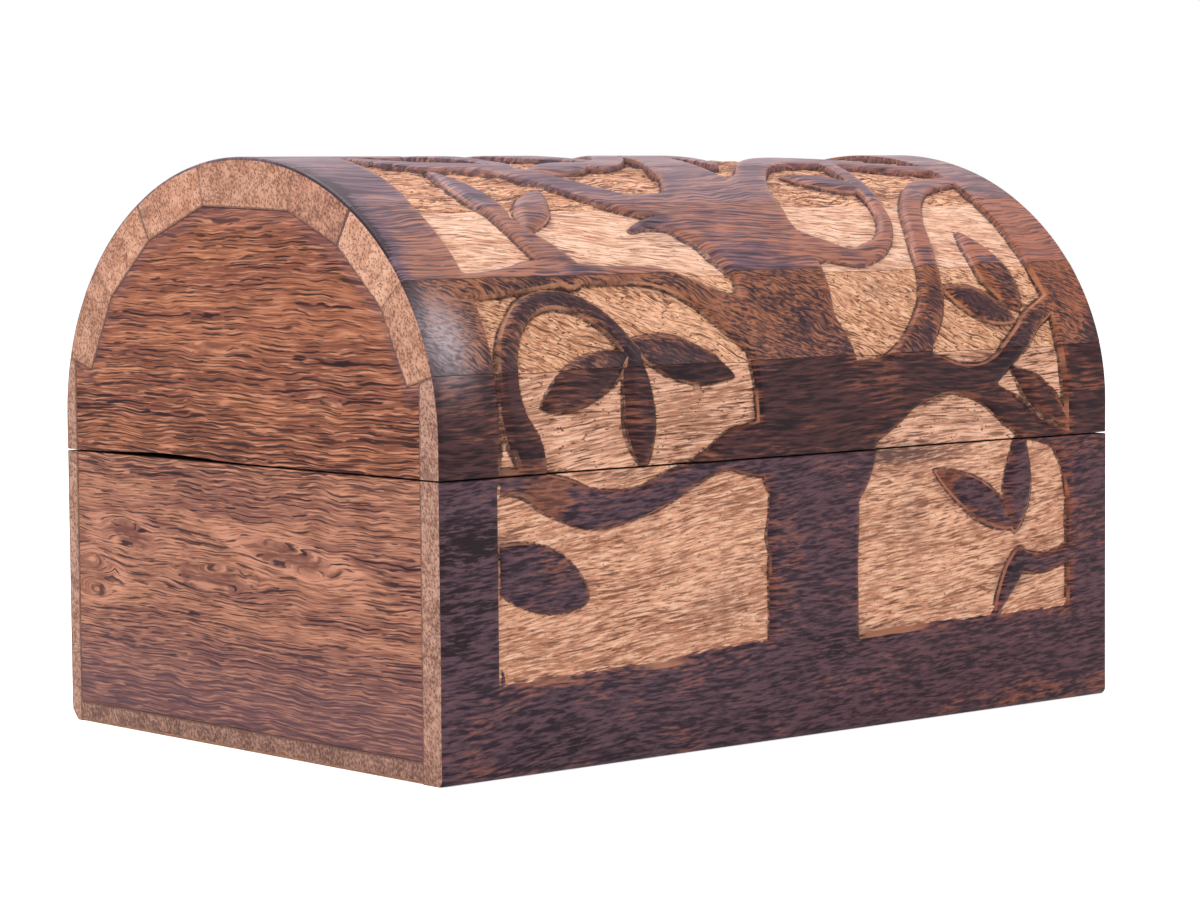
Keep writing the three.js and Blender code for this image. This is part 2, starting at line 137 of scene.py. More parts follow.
def layered(x, s, layers):
    """The sum of layers of lumps."""
    return sum(height * (lumps(x, s, *sizes_and_seed) - 0.5) for *sizes_and_seed, height in layers)


def spread(x, s, spots):
    """The sum of soft round spots on the front."""
    total = np.zeros((len(x), len(s)))
    for at_x, at_s, reach_x, reach_s, much in spots:
        total += much * np.exp(-(((x[:, None] - at_x) / reach_x) ** 2) - ((s - at_s) / reach_s) ** 2)
    return total


def spaced(low, high, cell, ease):
    """Places from low to high about a cell apart, closer together over the eased ends."""
    close = ease * np.linspace(0, 1, CLOSE + 1) ** 1.7
    count = max(2, round((high - low - 2 * ease) / cell))
    middle = np.linspace(low + ease, high - ease, count + 1)
    return np.concatenate([low + close[:-1], middle, high - close[-2::-1]])


def drop(inwards, radius):
    """How deep a rounded edge lies below the face, at a distance inwards from it."""
    return radius - np.sqrt(radius**2 - (radius - np.clip(inwards, 0, radius)) ** 2)


def end_drop(x):
    """How deep the eased ends of a lengthwise board lie below its faces."""
    return drop(np.minimum(x + HALF_LENGTH, HALF_LENGTH - x), END_EASE)


# The tree. A branch is a line of (x, girth, width) and a leaf is (base, tip, width, fullest, blunt, bow).
BRANCHES = {
    "trunk": [
        (5, 8, 27), (5, 40, 27), (5.2, 52, 27.2), (5.4, 57, 27.4), (5.9, 61.5, 31), (6.5, 66, 36),
        (4, 74, 32), (4, 82, 32), (3, 88, 30), (3, 94, 27), (4.2, 100, 26.5), (5.8, 106, 26.5),
        (4.8, 112, 29), (3.5, 118, 32), (3, 123, 33), (3.5, 128, 29.5), (5, 133.5, 25.5), (6, 139, 21.5),
        (6.5, 145, 18.5), (8, 152, 15.5), (9, 158, 13), (10, 165, 12), (11, 178, 12), (12.5, 187, 8),
        (15, 195, 2)],
    "low_left": [
        (-2, 66, 16), (-13, 65, 11), (-20, 65, 8), (-27, 62.4, 5), (-38, 58.3, 6), (-48, 55.2, 6.2),
        (-60, 54.8, 8), (-69, 57.8, 8), (-78, 61.2, 4.4), (-90, 61.6, 3.4)],
    "curl": [
        (-75.8, 63, 6.4), (-76.6, 67, 6.8), (-78.3, 70.5, 6.6), (-80.4, 75, 5.4), (-81.3, 80, 4.6),
        (-80.8, 86, 4.4), (-79.4, 90.5, 4.4), (-76.3, 95.4, 4.2), (-71, 99.8, 4), (-64, 101.4, 3.8),
        (-57, 99.6, 4.4), (-51.5, 95.2, 4.2), (-48, 91, 3.8), (-46, 87.5, 4)],
    "second_left": [
        (-2, 92, 20), (-10, 94, 13), (-15, 96.5, 9.5), (-20, 100.2, 7.2), (-27, 104.6, 6), (-35, 106.9, 4.8),
        (-45, 107.4, 4.4), (-55, 108.2, 5.6), (-62, 108.4, 6.8), (-70, 107, 6.2), (-80, 105.6, 6),
        (-90, 105.8, 6)],
    "twig_left": [
        (-56, 109, 9), (-58.5, 114, 8), (-61, 118.5, 6), (-62.8, 124, 4.5), (-63, 129, 4)],
    "third_left": [
        (-2, 124, 24), (-12, 128, 14), (-18, 129.5, 10), (-24, 131.2, 9), (-30, 135.3, 8.6),
        (-36, 141.2, 8.4), (-42, 147.4, 7.8), (-48, 152.2, 6.6), (-56, 153.9, 5.8), (-63, 154.9, 5.4),
        (-68, 156.4, 5.2), (-73, 159.3, 4.6), (-76.5, 162.8, 4), (-79, 167, 4), (-81, 173, 4)],
    "thorn": [
        (-12, 120, 8), (-18, 123, 4.5), (-24, 122.8, 2.6), (-29.5, 120.8, 0.8)],
    "rising": [
        (-15, 154.5, 5.5), (-10, 156.8, 6.5), (-5, 161, 7), (-1, 166, 7.5), (2, 172, 8), (4, 178, 8),
        (4, 185, 5), (2, 192, 1)],
    "crown_blade": [
        (-13, 158.5, 4), (-18.5, 162.5, 6), (-23.5, 167, 10), (-26, 172, 14), (-28, 180, 13), (-30, 188, 8),
        (-33, 196, 1)],
    "crown_twig": [
        (-42.5, 154.5, 6), (-44.5, 159, 5), (-46.5, 164, 6.5), (-48.5, 170, 8.5), (-50, 179, 9),
        (-52.5, 187, 5), (-56, 194, 1)],
    "crown_left": [
        (-83, 172, 7), (-74, 172.5, 8), (-64, 172.3, 8), (-59, 174, 7.5), (-58, 182, 5.5), (-61, 190, 1)],
    "crown_stub": [
        (22.5, 155, 2.6), (21.5, 160, 4.5), (20, 166, 5.5), (18, 172, 6.5), (17.5, 179, 7), (19, 186, 4.5),
        (22, 192, 1)],
    "limb_right": [
        (14, 72, 22), (24, 74.5, 18), (31, 77, 15), (37, 81, 12.5), (42, 88, 7.4), (46.3, 93, 6.7),
        (49.8, 97.8, 6.6), (52.1, 103.2, 6.3), (53.7, 108.4, 6.2), (55.6, 113.2, 6), (57.8, 118.2, 5.4),
        (60.5, 123.4, 5), (63.8, 128, 5), (68, 132.5, 4.8), (73.5, 136.6, 4.8), (80.2, 138.8, 4.4),
        (91, 141, 3.6)],
    "to_right_border": [
        (36, 78, 12), (44, 79.5, 9), (52, 78, 6.5), (60, 78, 6), (66, 80.5, 4.6), (71, 84, 4.6),
        (76, 87.5, 4.8), (81, 91.6, 4.6), (91, 97, 3.6)],
    "low_right": [
        (40, 77, 7), (48, 77.5, 5), (55, 76.3, 4.8), (60.5, 74.6, 5.2), (65, 72.2, 6), (69.8, 69, 6.2),
        (74.5, 66, 5.2), (79, 64.4, 3.8), (91, 61, 5)],
    "corner": [
        (82.5, 64, 2.5), (85.8, 60, 2.5), (88.2, 55, 2.5), (90, 48, 3)],
    "sprig": [
        (72, 35, 4.5), (69.3, 31.3, 5.2), (66.3, 26.8, 3.4), (63.6, 22.4, 1)],
    "sprig_arm": [
        (71.5, 34.3, 5), (78, 33.2, 4.4), (84, 33.8, 4), (92, 36.3, 3.6)],
    "oval_stem": [
        (8, 116, 20), (17, 114.5, 11), (24, 113, 6.6), (32, 110.5, 4.6), (40, 112.6, 4.6), (45, 115.6, 3.9),
        (48, 118.8, 3.5), (50.6, 122.8, 3.4), (52, 127, 3.5), (53.2, 131, 3.6), (54.6, 136, 4.5),
        (55.8, 142, 4.6), (57.5, 148, 4.4), (59.5, 156, 5)],
    "over_oval": [
        (11, 128, 20), (14, 133, 16), (19, 138, 10.5), (24, 143, 7.4), (30, 149.3, 7), (36, 154.8, 7.4),
        (43, 158.5, 8), (50, 159.3, 8), (58, 157.8, 7), (65, 155.8, 6), (72, 152.5, 5), (79, 150, 4.5),
        (91, 148.8, 4)],
}
LEAVES = [
    ((-47.5, 88), (-73, 76.8), 9.6),
    ((-47, 90.5), (-17.8, 81.6), 9.8),
    ((-46.2, 88.5), (-45.4, 63.3), 7.6, 0.5, 0.5),
    ((-61.8, 125.5), (-65.8, 150.8), 7.6, 0.36, 0.85, 0.7),
    ((-60.5, 120.5), (-44.3, 137.8), 8),
    ((-14, 157), (-38.3, 149.7), 8.6),
    ((70.5, 79.8), (88.5, 66.2), 5.4),
    ((77.5, 94.5), (71.2, 118), 10.2, 0.45),
    ((75, 91.5), (54.6, 101.2), 8),
    ((57, 136), (35.8, 145.2), 8.4),
    ((70, 42.5), (43.3, 57.2), 7.8, 0.45, 0.85, -0.6),
    ((70.3, 41.3), (72.6, 65), 8.4, 0.45, 0.75),
    ((-93, 46), (-61.2, 36), 13.4, 0.55, 0.6, 0.8),
]
# The sunk panel's edge, round from its lower left corner.
PANEL = [
    (-86, 18.5), (-60, 19), (-40, 19.4), (-25, 20.6), (-9, 22), (18.5, 20.5), (40, 21), (60, 21),
    (88.5, 21.3), (88.4, 52), (88.2, 75), (87.8, 97), (87, 110), (87, 130), (88, 140), (88, 150), (87, 165),
    (87, 206), (-80.5, 206), (-80.5, 165), (-81.5, 157), (-82.4, 150), (-83.3, 140), (-84.6, 130),
    (-84.8, 105), (-85.3, 90), (-86, 75),
]
# A cut line along the left border: its place, width and ends, and its depth as a share of the ground's.
GROOVE_X, GROOVE_WIDTH = -85.8, 0.45
GROOVE_ENDS = (19.5, 62)
GROOVE_SHARE = 0.9
# The gentle slope along the bottom border: its width, where it fades, and how far from the trunk's middle
# it sets in.
SLOPE, SLOPE_FADES = 2.2, (25, 21)
TRUNK_X, SLOPE_BEGINS = 5, (15, 19)
# Where the walls lean over the most: x, girth, reach along each and how far.
LEANING = [
    (-14, 112, 8, 7, 1.5), (-12, 98, 10, 5, 1.2), (-45, 147, 14, 8, 1.0), (-66, 138, 5, 12, 0.9),
    (-83, 82, 4, 16, 0.9), (-51, 73, 3, 10, 1.3), (60, 44, 10, 6, 0.7), (82, 75, 8, 10, 0.6),
    (-60, 101, 14, 4, 0.8), (70, 104, 8, 10, 0.8), (-9.5, 46, 3, 3, 1.1), (-76, 57, 6, 4, 1.0),
    (75, 71, 7, 5, 1.5), (87, 80, 2.5, 12, 0.8), (52, 86, 4, 5, 0.9), (-84, 69, 4, 8, 1.0),
]


def spline(points, steps=5):
    """A smooth line through the points."""
    p = np.array(points, float)
    p = np.vstack([2 * p[0] - p[1], p, 2 * p[-1] - p[-2]])
    t = np.linspace(0, 1, steps, endpoint=False)[:, None]
    spans = [
        (2 * b + (c - a) * t + (2 * a - 5 * b + 4 * c - d) * t**2 + (3 * b - a - 3 * c + d) * t**3) / 2
        for a, b, c, d in zip(p, p[1:], p[2:], p[3:])
    ]
    return np.vstack([*spans, p[-2:-1]])


def leaf_outline(base, tip, width, fullest=0.5, blunt=0.85, bow=0, steps=14):
    """A pointed leaf. It is fullest at a share of its length, and a small blunt makes its ends rounder."""
    base, tip = np.array(base, float), np.array(tip, float)
    along = (1 - np.cos(np.pi * np.linspace(0, 1, steps + 1))) / 2
    axis = tip - base
    side = np.array([-axis[1], axis[0]]) / np.hypot(*axis)
    middle = base + np.outer(along, axis) + np.outer(4 * bow * along * (1 - along), side)
    half = width / 2 * np.sin(np.pi * along ** (math.log(0.5) / math.log(fullest))) ** blunt
    return np.vstack([middle + half[:, None] * side, (middle - half[:, None] * side)[-2:0:-1]])


def near(x, s, points, margin):
    """The part of a grid near some points."""
    ends = np.stack([points.min(0) - margin, points.max(0) + margin], 1)
    return tuple(slice(*np.searchsorted(line, pair)) for line, pair in zip((x, s), ends))


def branch_distance(field, grid_x, grid_s, points):
    """Lowers a field of distances to those from a branch."""
    line = spline(points)
    for a, b in zip(line, line[1:]):
        part = near(grid_x, grid_s, np.stack([a[:2], b[:2]]), REACH + max(a[2], b[2]) / 2)
        x, s = grid_x[part[0], None] - a[0], grid_s[None, part[1]] - a[1]
        dx, ds = b[:2] - a[:2]
        t = np.clip((x * dx + s * ds) / (dx * dx + ds * ds), 0, 1)
        distance = np.hypot(x - t * dx, s - t * ds) - (a[2] + (b[2] - a[2]) * t) / 2
        field[part] = np.minimum(field[part], distance)


def outline_distance(x, s, outline):
    """Distance to a closed outline, less than zero inside."""
    x = x[:, None]
    distance = np.full((len(x), len(s)), 1e9)
    inside = np.zeros(distance.shape, bool)
    for a, b in zip(outline, np.roll(outline, -1, 0)):
        dx, ds = b - a
        t = np.clip(((x - a[0]) * dx + (s - a[1]) * ds) / (dx * dx + ds * ds), 0, 1)
        distance = np.minimum(distance, np.hypot(x - a[0] - t * dx, s - a[1] - t * ds))
        if ds:
            inside ^= ((a[1] > s) != (b[1] > s)) & (x < dx * (s - a[1]) / ds + a[0])
    return np.where(inside, -distance, distance)


def carving(x, s):
    """Distance from what stands proud, above zero on the ground, how deep the leaves fall to their edges,
    and how deep the raised edges are rounded."""
    branches, leaves = (np.full((len(x), len(s)), REACH) for _ in range(2))
    for points in BRANCHES.values():
        branch_distance(branches, x, s, points)
    for leaf in LEAVES:
        outline = leaf_outline(*leaf)
        part = near(x, s, outline, REACH)
        if leaves[part].size:
            distance = outline_distance(x[part[0]], s[part[1]], outline)
            leaves[part] = np.minimum(leaves[part], distance)
    border = -outline_distance(x, s, np.array(PANEL, float))
    rest = np.minimum(branches, border)
    fallen = LEAF_DROP * smooth(leaves, -LEAF_RIM, 0) * smooth(rest - leaves, 0, 1.5)
    rounding = BORDER_DROP + TREE_DROP * smooth(border - np.minimum(branches, leaves), 0, 1.5)
    return np.minimum(rest, leaves), fallen, rounding


def width_of_wall(x, s):
    """How far a wall leans over on the ground, and how far of it is the bottom border's gentle slope."""
    slope = SLOPE * smooth(s, *SLOPE_FADES) * smooth(np.abs(x[:, None] - TRUNK_X), *SLOPE_BEGINS)
    return WALL * (0.8 + 0.9 * lumps(x, s, 9, 9, 3) ** 2) + slope + spread(x, s, LEANING), slope


def groove(x, s):
    """How much of a place belongs to the cut line."""
    start, end = GROOVE_ENDS
    beside = np.exp(-(((x - GROOVE_X) / GROOVE_WIDTH) ** 2))
    return beside * smooth(s, start - 1, start + 1) * smooth(s, end + 1, end - 1)


def crisped(x, s, sd, width):
    """The grid's places, with those near the top or foot of a wall moved to it, and their distances."""
    slope_x, slope_s = np.gradient(sd, x, s)
    steep = np.maximum(slope_x**2 + slope_s**2, 0.5)
    goal = np.where(sd < width / 2, 0, width)
    move = np.where(np.abs(sd - goal) < CELL * 0.6, goal - sd, 0)
    move[:CLOSE] = move[-CLOSE:] = 0
    move[:, :CLOSE] = move[:, -CLOSE:] = 0
    shift = np.clip(move / steep, -CELL, CELL)
    return x[:, None] + shift * slope_x, s[None, :] + shift * slope_s, sd + move


def link(name, data):
    """An object in the scene."""
    thing = bpy.data.objects.new(name, data)
    scene.collection.objects.link(thing)
    return thing


def loft(name, grid, strips, cap, attributes, materials):
    """A closed piece from a grid of columns of points. A strip between two rows is (smooth, material), the
    last one closes the loop, and the cap is the material of both ends."""
    columns, rows = grid.shape[:2]
    index = np.arange(columns * rows).reshape(columns, rows)
    after = np.roll(index, -1, 1)
    sides = np.stack([index[:-1], index[1:], after[1:], after[:-1]], -1).reshape(-1, 4)
    mesh = bpy.data.meshes.new(name)
    faces = [*sides.tolist(), index[0].tolist(), index[-1, ::-1].tolist()]
    mesh.from_pydata(grid.reshape(-1, 3) * MM, [], faces)
    looks = np.array([*strips * (columns - 1), (False, cap), (False, cap)], np.int32)
    mesh.polygons.foreach_set("use_smooth", looks[:, 0].astype(bool))
    mesh.polygons.foreach_set("material_index", looks[:, 1].copy())
    mesh.validate()
    for key, values in attributes.items():
        kind, field = ("FLOAT_VECTOR", "vector") if values.ndim == 3 else ("FLOAT", "value")
        attribute = mesh.attributes.new(key, kind, "POINT")
        attribute.data.foreach_set(field, values.astype(np.float32).ravel())
    for material in materials:
        mesh.materials.append(material)
    mesh.set_sharp_from_angle(angle=math.radians(38))
    return link(name, mesh)


def linear(code):
    """A colour written as #rrggbb, for a shader's socket."""
    parts = [int(code[i:i + 2], 16) / 255 for i in (1, 3, 5)]
    return tuple(c / 12.92 if c <= 0.04045 else ((c + 0.055) / 1.055) ** 2.4 for c in parts) + (1.0,)


class Shader:
    """The nodes of a material or a world, and short calls that add to them."""

    def __init__(self, name, kind="materials"):
        self.owner = getattr(bpy.data, kind).new(name)
        self.owner.use_nodes = True
        self.tree = self.owner.node_tree
        self.tree.nodes.clear()

    def node(self, kind, inputs=(), **settings):
        """A node with its settings and inputs. An input is a socket, a number, a vector or a colour."""
        node = self.tree.nodes.new("ShaderNode" + kind)
        for key, value in settings.items():
            setattr(node, key, value)
        for key, value in dict(inputs).items():
            if isinstance(value, bpy.types.NodeSocket):
                self.tree.links.new(value, node.inputs[key])
            else:
                node.inputs[key].default_value = linear(value) if isinstance(value, str) else value
        return node

    def attribute(self, name, output="Fac"):
        return self.node("Attribute", attribute_name=name).outputs[output]

    def place(self):
        """The point on the piece, in millimetres."""
        where = self.node("TexCoord").outputs["Object"]
        return self.vector("MULTIPLY", where, (1000, 1000, 1000))

    def vector(self, operation, a, b):
        return self.node("VectorMath", {0: a, 1: b}, operation=operation).outputs[0]

    def math(self, operation, a, b=0.0, c=0.0):
        return self.node("Math", {0: a, 1: b, 2: c}, operation=operation).outputs[0]

    plus = partialmethod(math, "ADD")
    minus = partialmethod(math, "SUBTRACT")
    times = partialmethod(math, "MULTIPLY")
    times_plus = partialmethod(math, "MULTIPLY_ADD")
    greater = partialmethod(math, "MAXIMUM")

    def split(self, vector):
        return self.node("SeparateXYZ", {0: vector}).outputs

    def join(self, x, y, z):
        return self.node("CombineXYZ", {0: x, 1: y, 2: z}).outputs[0]

    def noise(self, vector, stretch, detail=3.0, roughness=0.55, distortion=0.0):
        """Noise mostly between 0 and 1, with so many lumps to a millimetre along each axis."""
        inputs = {"Vector": self.vector("MULTIPLY", vector, stretch), "Scale": 1.0, "Detail": detail,
                  "Roughness": roughness, "Distortion": distortion}
        raw = self.node("TexNoise", inputs).outputs["Fac"]
        widened = {"Value": raw, "From Min": 0.3, "From Max": 0.7}
        return self.node("MapRange", widened).outputs["Result"]

    def ramp(self, value, low, high, to_low=0.0, to_high=1.0):
        inputs = {"Value": value, "From Min": low, "From Max": high, "To Min": to_low, "To Max": to_high}
        return self.node("MapRange", inputs, interpolation_type="SMOOTHSTEP").outputs["Result"]

    def mix(self, share, a, b, blend="MIX"):
        node = self.node("Mix", {0: share, 6: a, 7: b}, data_type="RGBA", blend_type=blend)
        return node.outputs[2]

    def turned(self, tone, colour, value, *ends):
        """The tone turned into a colour as a value ramps up between its ends."""
        return self.mix(self.ramp(value, *ends), tone, colour)

    def blend(self, share, a, b):
        return self.node("Mix", {0: share, 2: a, 3: b}, data_type="FLOAT").outputs[0]

    def grain(self, sheet, wander, swirl, seed):
        """The sheet bent as the grain is, which runs along its first axis."""
        shifted = self.vector("ADD", sheet, (seed * 13.7, seed * 71.3, seed * 5.1))
        x, s, w = (self.split(shifted)[i] for i in range(3))
        swing = self.times(self.noise(shifted, (0.016, 0.035, 1), 2.0), wander)
        if swirl:
            swing = self.times_plus(self.noise(shifted, (0.085, 0.1, 1), 2.0, 0.5), swirl, swing)
        return self.join(x, self.plus(s, swing), w)

    def hairlines(self, bent, pitch, length, crowd=0.0, turn=0, thin=0.45):
        """Thin broken lines along the grain, about a pitch apart and a length long."""
        shifted = self.vector("ADD", bent, (turn * 31.7, turn * 0.37, turn * 12.3))
        wave = self.noise(shifted, (0.35 / length, 0.5 / pitch, 1), 2.0, 0.5)
        phase = self.times_plus(self.split(shifted)[1], 2 / pitch, self.times(wave, 2.0))
        line = self.ramp(self.math("PINGPONG", phase, 1.0), thin, 0.85)
        broken = self.plus(self.noise(shifted, (1.1 / length, 0.8 / pitch, 1), 2.0, 0.5), crowd)
        return self.times(line, self.ramp(broken, 0.42, 0.62))

    def finish(self, colour, roughness, height, depth, specular=0.5, metallic=0.0, tint=(1, 1, 1, 1)):
        """The surface: a depth in millimetres is what a height of 1 stands up."""
        bump = self.node("Bump", {"Height": height, "Distance": depth * MM, "Strength": 1.0})
        surface = self.node("BsdfPrincipled", {
            "Base Color": colour, "Roughness": roughness, "Metallic": metallic,
            "Specular IOR Level": specular, "Specular Tint": tint, "Normal": bump.outputs[0]})
        self.node("OutputMaterial", {"Surface": surface.outputs[0]})
        return self.owner


SOOT = "#1a1214"
# The colour of a painted sheen, a pale patch on the proud wood.
PAINTED_SHEEN = "#a79ba0"
# The colour of painted shade and of stains on the ground.
GROUND_SHADE_AND_STAIN = "#63473f"
WARMER = (1.0, 0.82, 0.74, 1)  # what the proud wood is tinted with towards the right
SHEEN = (1.0, 0.76, 0.9, 1)


class CarvedWood(Shader):
    """Stained and scorched wood, with a bare carved ground. Each board has its own looks."""

    def __init__(self, name, seed, looks):
        super().__init__(name)
        self.looks = looks
        self.burnt, self.bare, self.marks = looks["burnt"], looks["floor"], looks["marks"]
        self.sheet = self.attribute("sheet", "Vector")
        self.relief, self.carve, self.foot, self.sheen_shade_and_stain = (
            self.attribute(key) for key in ("relief", "carve", "foot", "sheen_shade_and_stain"))
        straight = self.grain(self.sheet, looks["wander"], looks["swirl"], seed)
        self.bent = self.sloped(straight, looks["tilts"][0])
        self.fine = self.noise(self.bent, (2 * looks["stretch"], 2.1, 1), 2.0, 0.5)
        self.bands = self.noise(self.bent, (0.012, 0.13, 1), 2.0, 0.5)
        self.patches = self.noise(self.sheet, (0.05, 0.07, 1), 3.0, 0.6)
        self.ground_bent = self.sloped(self.bent, looks["tilts"][1])
        self.fibres = self.noise(self.ground_bent, (looks["fibres"], 2.2, 1), 2.0, 0.55)
        x, girth = (self.times(self.split(self.sheet)[i], 0.14) for i in range(2))
        down_wall = self.join(x, self.times(self.relief, 3.4), girth)
        self.ragged = self.noise(down_wall, (1, 1, 1), 3.0, 0.65)

    def sloped(self, bent, tilt):
        """The grain sloping across the board."""
        return self.vector("ADD", bent, self.join(0.0, self.times(self.split(self.sheet)[0], tilt), 0.0))

    def proud(self):
        """The colour of the wood that stands proud, and how far its texture stands up."""
        looks, patches, fine = self.looks, self.patches, self.fine
        lines = self.noise(self.bent, (looks["stretch"], looks["lines"], 1), 3.0, 0.5)
        streaks = self.times_plus(lines, 0.6, self.times(fine, 0.4))
        thin = self.times(self.hairlines(self.bent, *looks["hairs"]), looks["contrast"])
        skin = self.turned(*looks["raised"], streaks, 0.2, 0.8)
        skin = self.mix(thin, skin, self.burnt[0])
        char = self.turned(*self.burnt[::-1], streaks, 0.25, 0.8)
        scorch = self.attribute("burn")
        for what, much in ((patches, 0.8), (self.bands, 0.35), (lines, 0.45), (fine, 0.35), (thin, 0.5)):
            scorch = self.times_plus(self.minus(what, 0.4), much, scorch)
        worn = self.times(self.ramp(self.carve, -2.4, 0.0, 0.0, 0.5), self.ramp(patches, 0.2, 0.7))
        skin = self.turned(skin, char, self.minus(scorch, worn), 0.2, 0.8)
        skin = self.turned(skin, SOOT, scorch, 1.1, 1.5)
        # Painted sheen: a pale patch mixed into the proud wood where the spots are above zero.
        skin = self.mix(self.times(self.sheen_shade_and_stain, self.ramp(fine, 0.1, 0.9, 0.9, 0.4)), skin, PAINTED_SHEEN)
        # A pale line along the raised edges: wear where the scorching is rubbed off, and a painted highlight.
        rubbed_edge_and_highlight = self.times(self.ramp(self.carve, -0.2, -0.02), self.ramp(patches, 0.4, 0.8, 0.0, 0.6))
        skin = self.mix(rubbed_edge_and_highlight, skin, self.bare[1])
        to_right = self.ramp(self.split(self.sheet)[0], -75, 85, 0.0, 0.75)
        skin = self.mix(to_right, skin, WARMER, "MULTIPLY")
        return skin, self.minus(self.times(fine, 0.3), self.times(thin, 0.6))

    def ground(self):
        """The colour of the carved ground with its chisel marks, and how far its texture stands up."""
        bent, fibres, patches, marks = self.ground_bent, self.fibres, self.patches, self.marks
        rough = self.looks["rough"]
        tone = self.noise(bent, (0.03, 0.17, 1), 3.0, 0.6)
        ground = self.turned(*self.bare[:2], tone, 0.2, 0.85)
        ground = self.turned(ground, self.bare[2], fibres, 0.45, 0.1, 0.0, 0.6)
        dense = self.ramp(patches, 0.1, 0.9, 0.3, 0.9)
        ground = self.mix(self.times(self.ramp(fibres, 0.53, 0.78), dense), ground, marks)
        cracks = self.noise(bent, (0.08, 1.2, 1), 3.0, 0.6)
        cracks = self.ramp(cracks, 0.86 - 0.16 * rough, 1.02 - 0.16 * rough)
        pits = self.noise(self.sheet, (0.8, 1.5, 1), 2.0, 0.5)
        cut = self.greater(cracks, self.ramp(pits, 0.94 - 0.2 * rough, 1.12 - 0.2 * rough))
        ground = self.mix(self.times(cut, 0.85), ground, marks)
        scratches = self.hairlines(bent, *self.looks["scratches"], turn=2)
        ground = self.mix(self.times(scratches, self.ramp(patches, 0.9, 0.1, 0.1, 0.6)), ground, marks)
        # Painted shade on the ground near the foot of the walls, in patches.
        darkening = self.times(self.ramp(self.carve, 3.4, 0.6), self.ramp(patches, 0.55, 0.9, 0.0, 0.5))
        # Darker patches on the ground where the spots are below zero: stains, and painted shade under the saw
        # cut.
        shade_and_stain_patches = self.times(self.sheen_shade_and_stain, self.ramp(fibres, 0.1, 0.9, -0.35, -0.9))
        ground = self.mix(self.greater(darkening, shade_and_stain_patches), ground, GROUND_SHADE_AND_STAIN)
        speckle = self.noise(self.sheet, (0.6, 1.2, 1), 2.0, 0.6)
        gouged = self.times_plus(fibres, -0.6, self.times(tone, 0.5))
        gouged = self.times_plus(cut, -1.8, self.times_plus(speckle, 0.7, gouged))
        return self.walls(ground, speckle), self.times(gouged, 0.6 + 1.3 * rough)

    def walls(self, ground, speckle):
        """The ground with the walls that rise from it, and painted shade in the crease at their foot."""
        foot, dark = self.foot, self.burnt[0]
        side = self.turned(self.marks, self.bare[1], self.ragged, 0.2, 0.8)
        side = self.turned(side, dark, self.patches, 0.3, 0.8, 0.1, 0.7)
        side = self.turned(side, self.marks, self.fibres, 0.4, 0.75, 0.0, 0.5)
        ground = self.turned(ground, side, foot, 0.06, -0.04)
        # Painted shade: a dark line along the foot of the walls.
        crease_shade = self.times(self.ramp(foot, -0.12, 0.02), self.ramp(foot, 0.45, 0.05))
        crease_shade = self.times(crease_shade, self.ramp(speckle, 0.1, 0.7, 0.25, 0.85))
        return self.mix(crease_shade, ground, dark)

    def surface(self):
        """The whole material. The scorching reaches down the walls to an uneven line."""
        looks, relief = self.looks, self.relief
        skin, skin_height = self.proud()
        ground, ground_height = self.ground()
        down = self.times_plus(self.minus(self.ragged, 0.5), 0.6, relief)
        down = self.times_plus(self.minus(self.fibres, 0.5), -0.25, down)
        colour = self.turned(skin, ground, down, looks["burnt_to"], looks["burnt_to"] + 0.22)
        gloss = self.ramp(self.bands, 0.1, 0.9, looks["gloss"], looks["gloss"] + 0.12)
        height = self.blend(relief, skin_height, ground_height)
        roughness = self.blend(relief, gloss, 0.8)
        return self.finish(colour, roughness, height, 0.08, looks["specular"], tint=SHEEN)


def end_grain(name, seed, light, dark, joints):
    """The cut ends of boards and staves: dots, faint rings and dark glue lines."""
    wood = Shader(name)
    place = wood.place()
    shifted = wood.vector("ADD", place, (0, seed * 17.0, seed * 9.0))
    mottle = wood.noise(shifted, (0.2, 0.25, 0.25), 3.0, 0.6)
    rings = wood.noise(shifted, (0.02, 0.06, 0.13), 2.0, 0.5, 0.6)
    lines = wood.ramp(wood.math("PINGPONG", wood.times(rings, 7.0), 1.0), 0.8, 1.0)
    tone = wood.turned(dark, light, mottle, 0.2, 0.8)
    turned = wood.node("VectorRotate", {"Vector": shifted, "Angle": 0.5}, rotation_type="X_AXIS")
    slanted = wood.vector("MULTIPLY", turned.outputs[0], (1.3, 1.9, 1.25))
    pores = wood.node("TexVoronoi", {"Vector": slanted, "Scale": 1.0}).outputs["Distance"]
    tone = wood.turned(tone, "#f0c0a0", pores, 0.4, 0.9, 0.0, 0.3)
    dots = wood.greater(wood.ramp(pores, 0.38, 0.2), wood.times(lines, 0.6))
    tone = wood.mix(wood.times(dots, 0.8), tone, "#5b3a30")
    glue = 0.0
    for (y0, z0), (y1, z1), darkness in joints:
        length = math.hypot(y1 - y0, z1 - z0)
        across = (0, (z1 - z0) / length, (y0 - y1) / length)
        reach = wood.node("VectorMath", {0: place, 1: across}, operation="DOT_PRODUCT")
        off = wood.minus(reach.outputs["Value"], float(y0 * across[1] + z0 * across[2]))
        uneven = wood.times_plus(mottle, -0.4, wood.math("ABSOLUTE", off))
        glue = wood.greater(glue, wood.ramp(uneven, 0.35, 0.0, 0.0, darkness))
    tone = wood.mix(glue, tone, "#553a37")
    return wood.finish(tone, 0.7, wood.minus(1.0, dots), 0.06, 0.3)


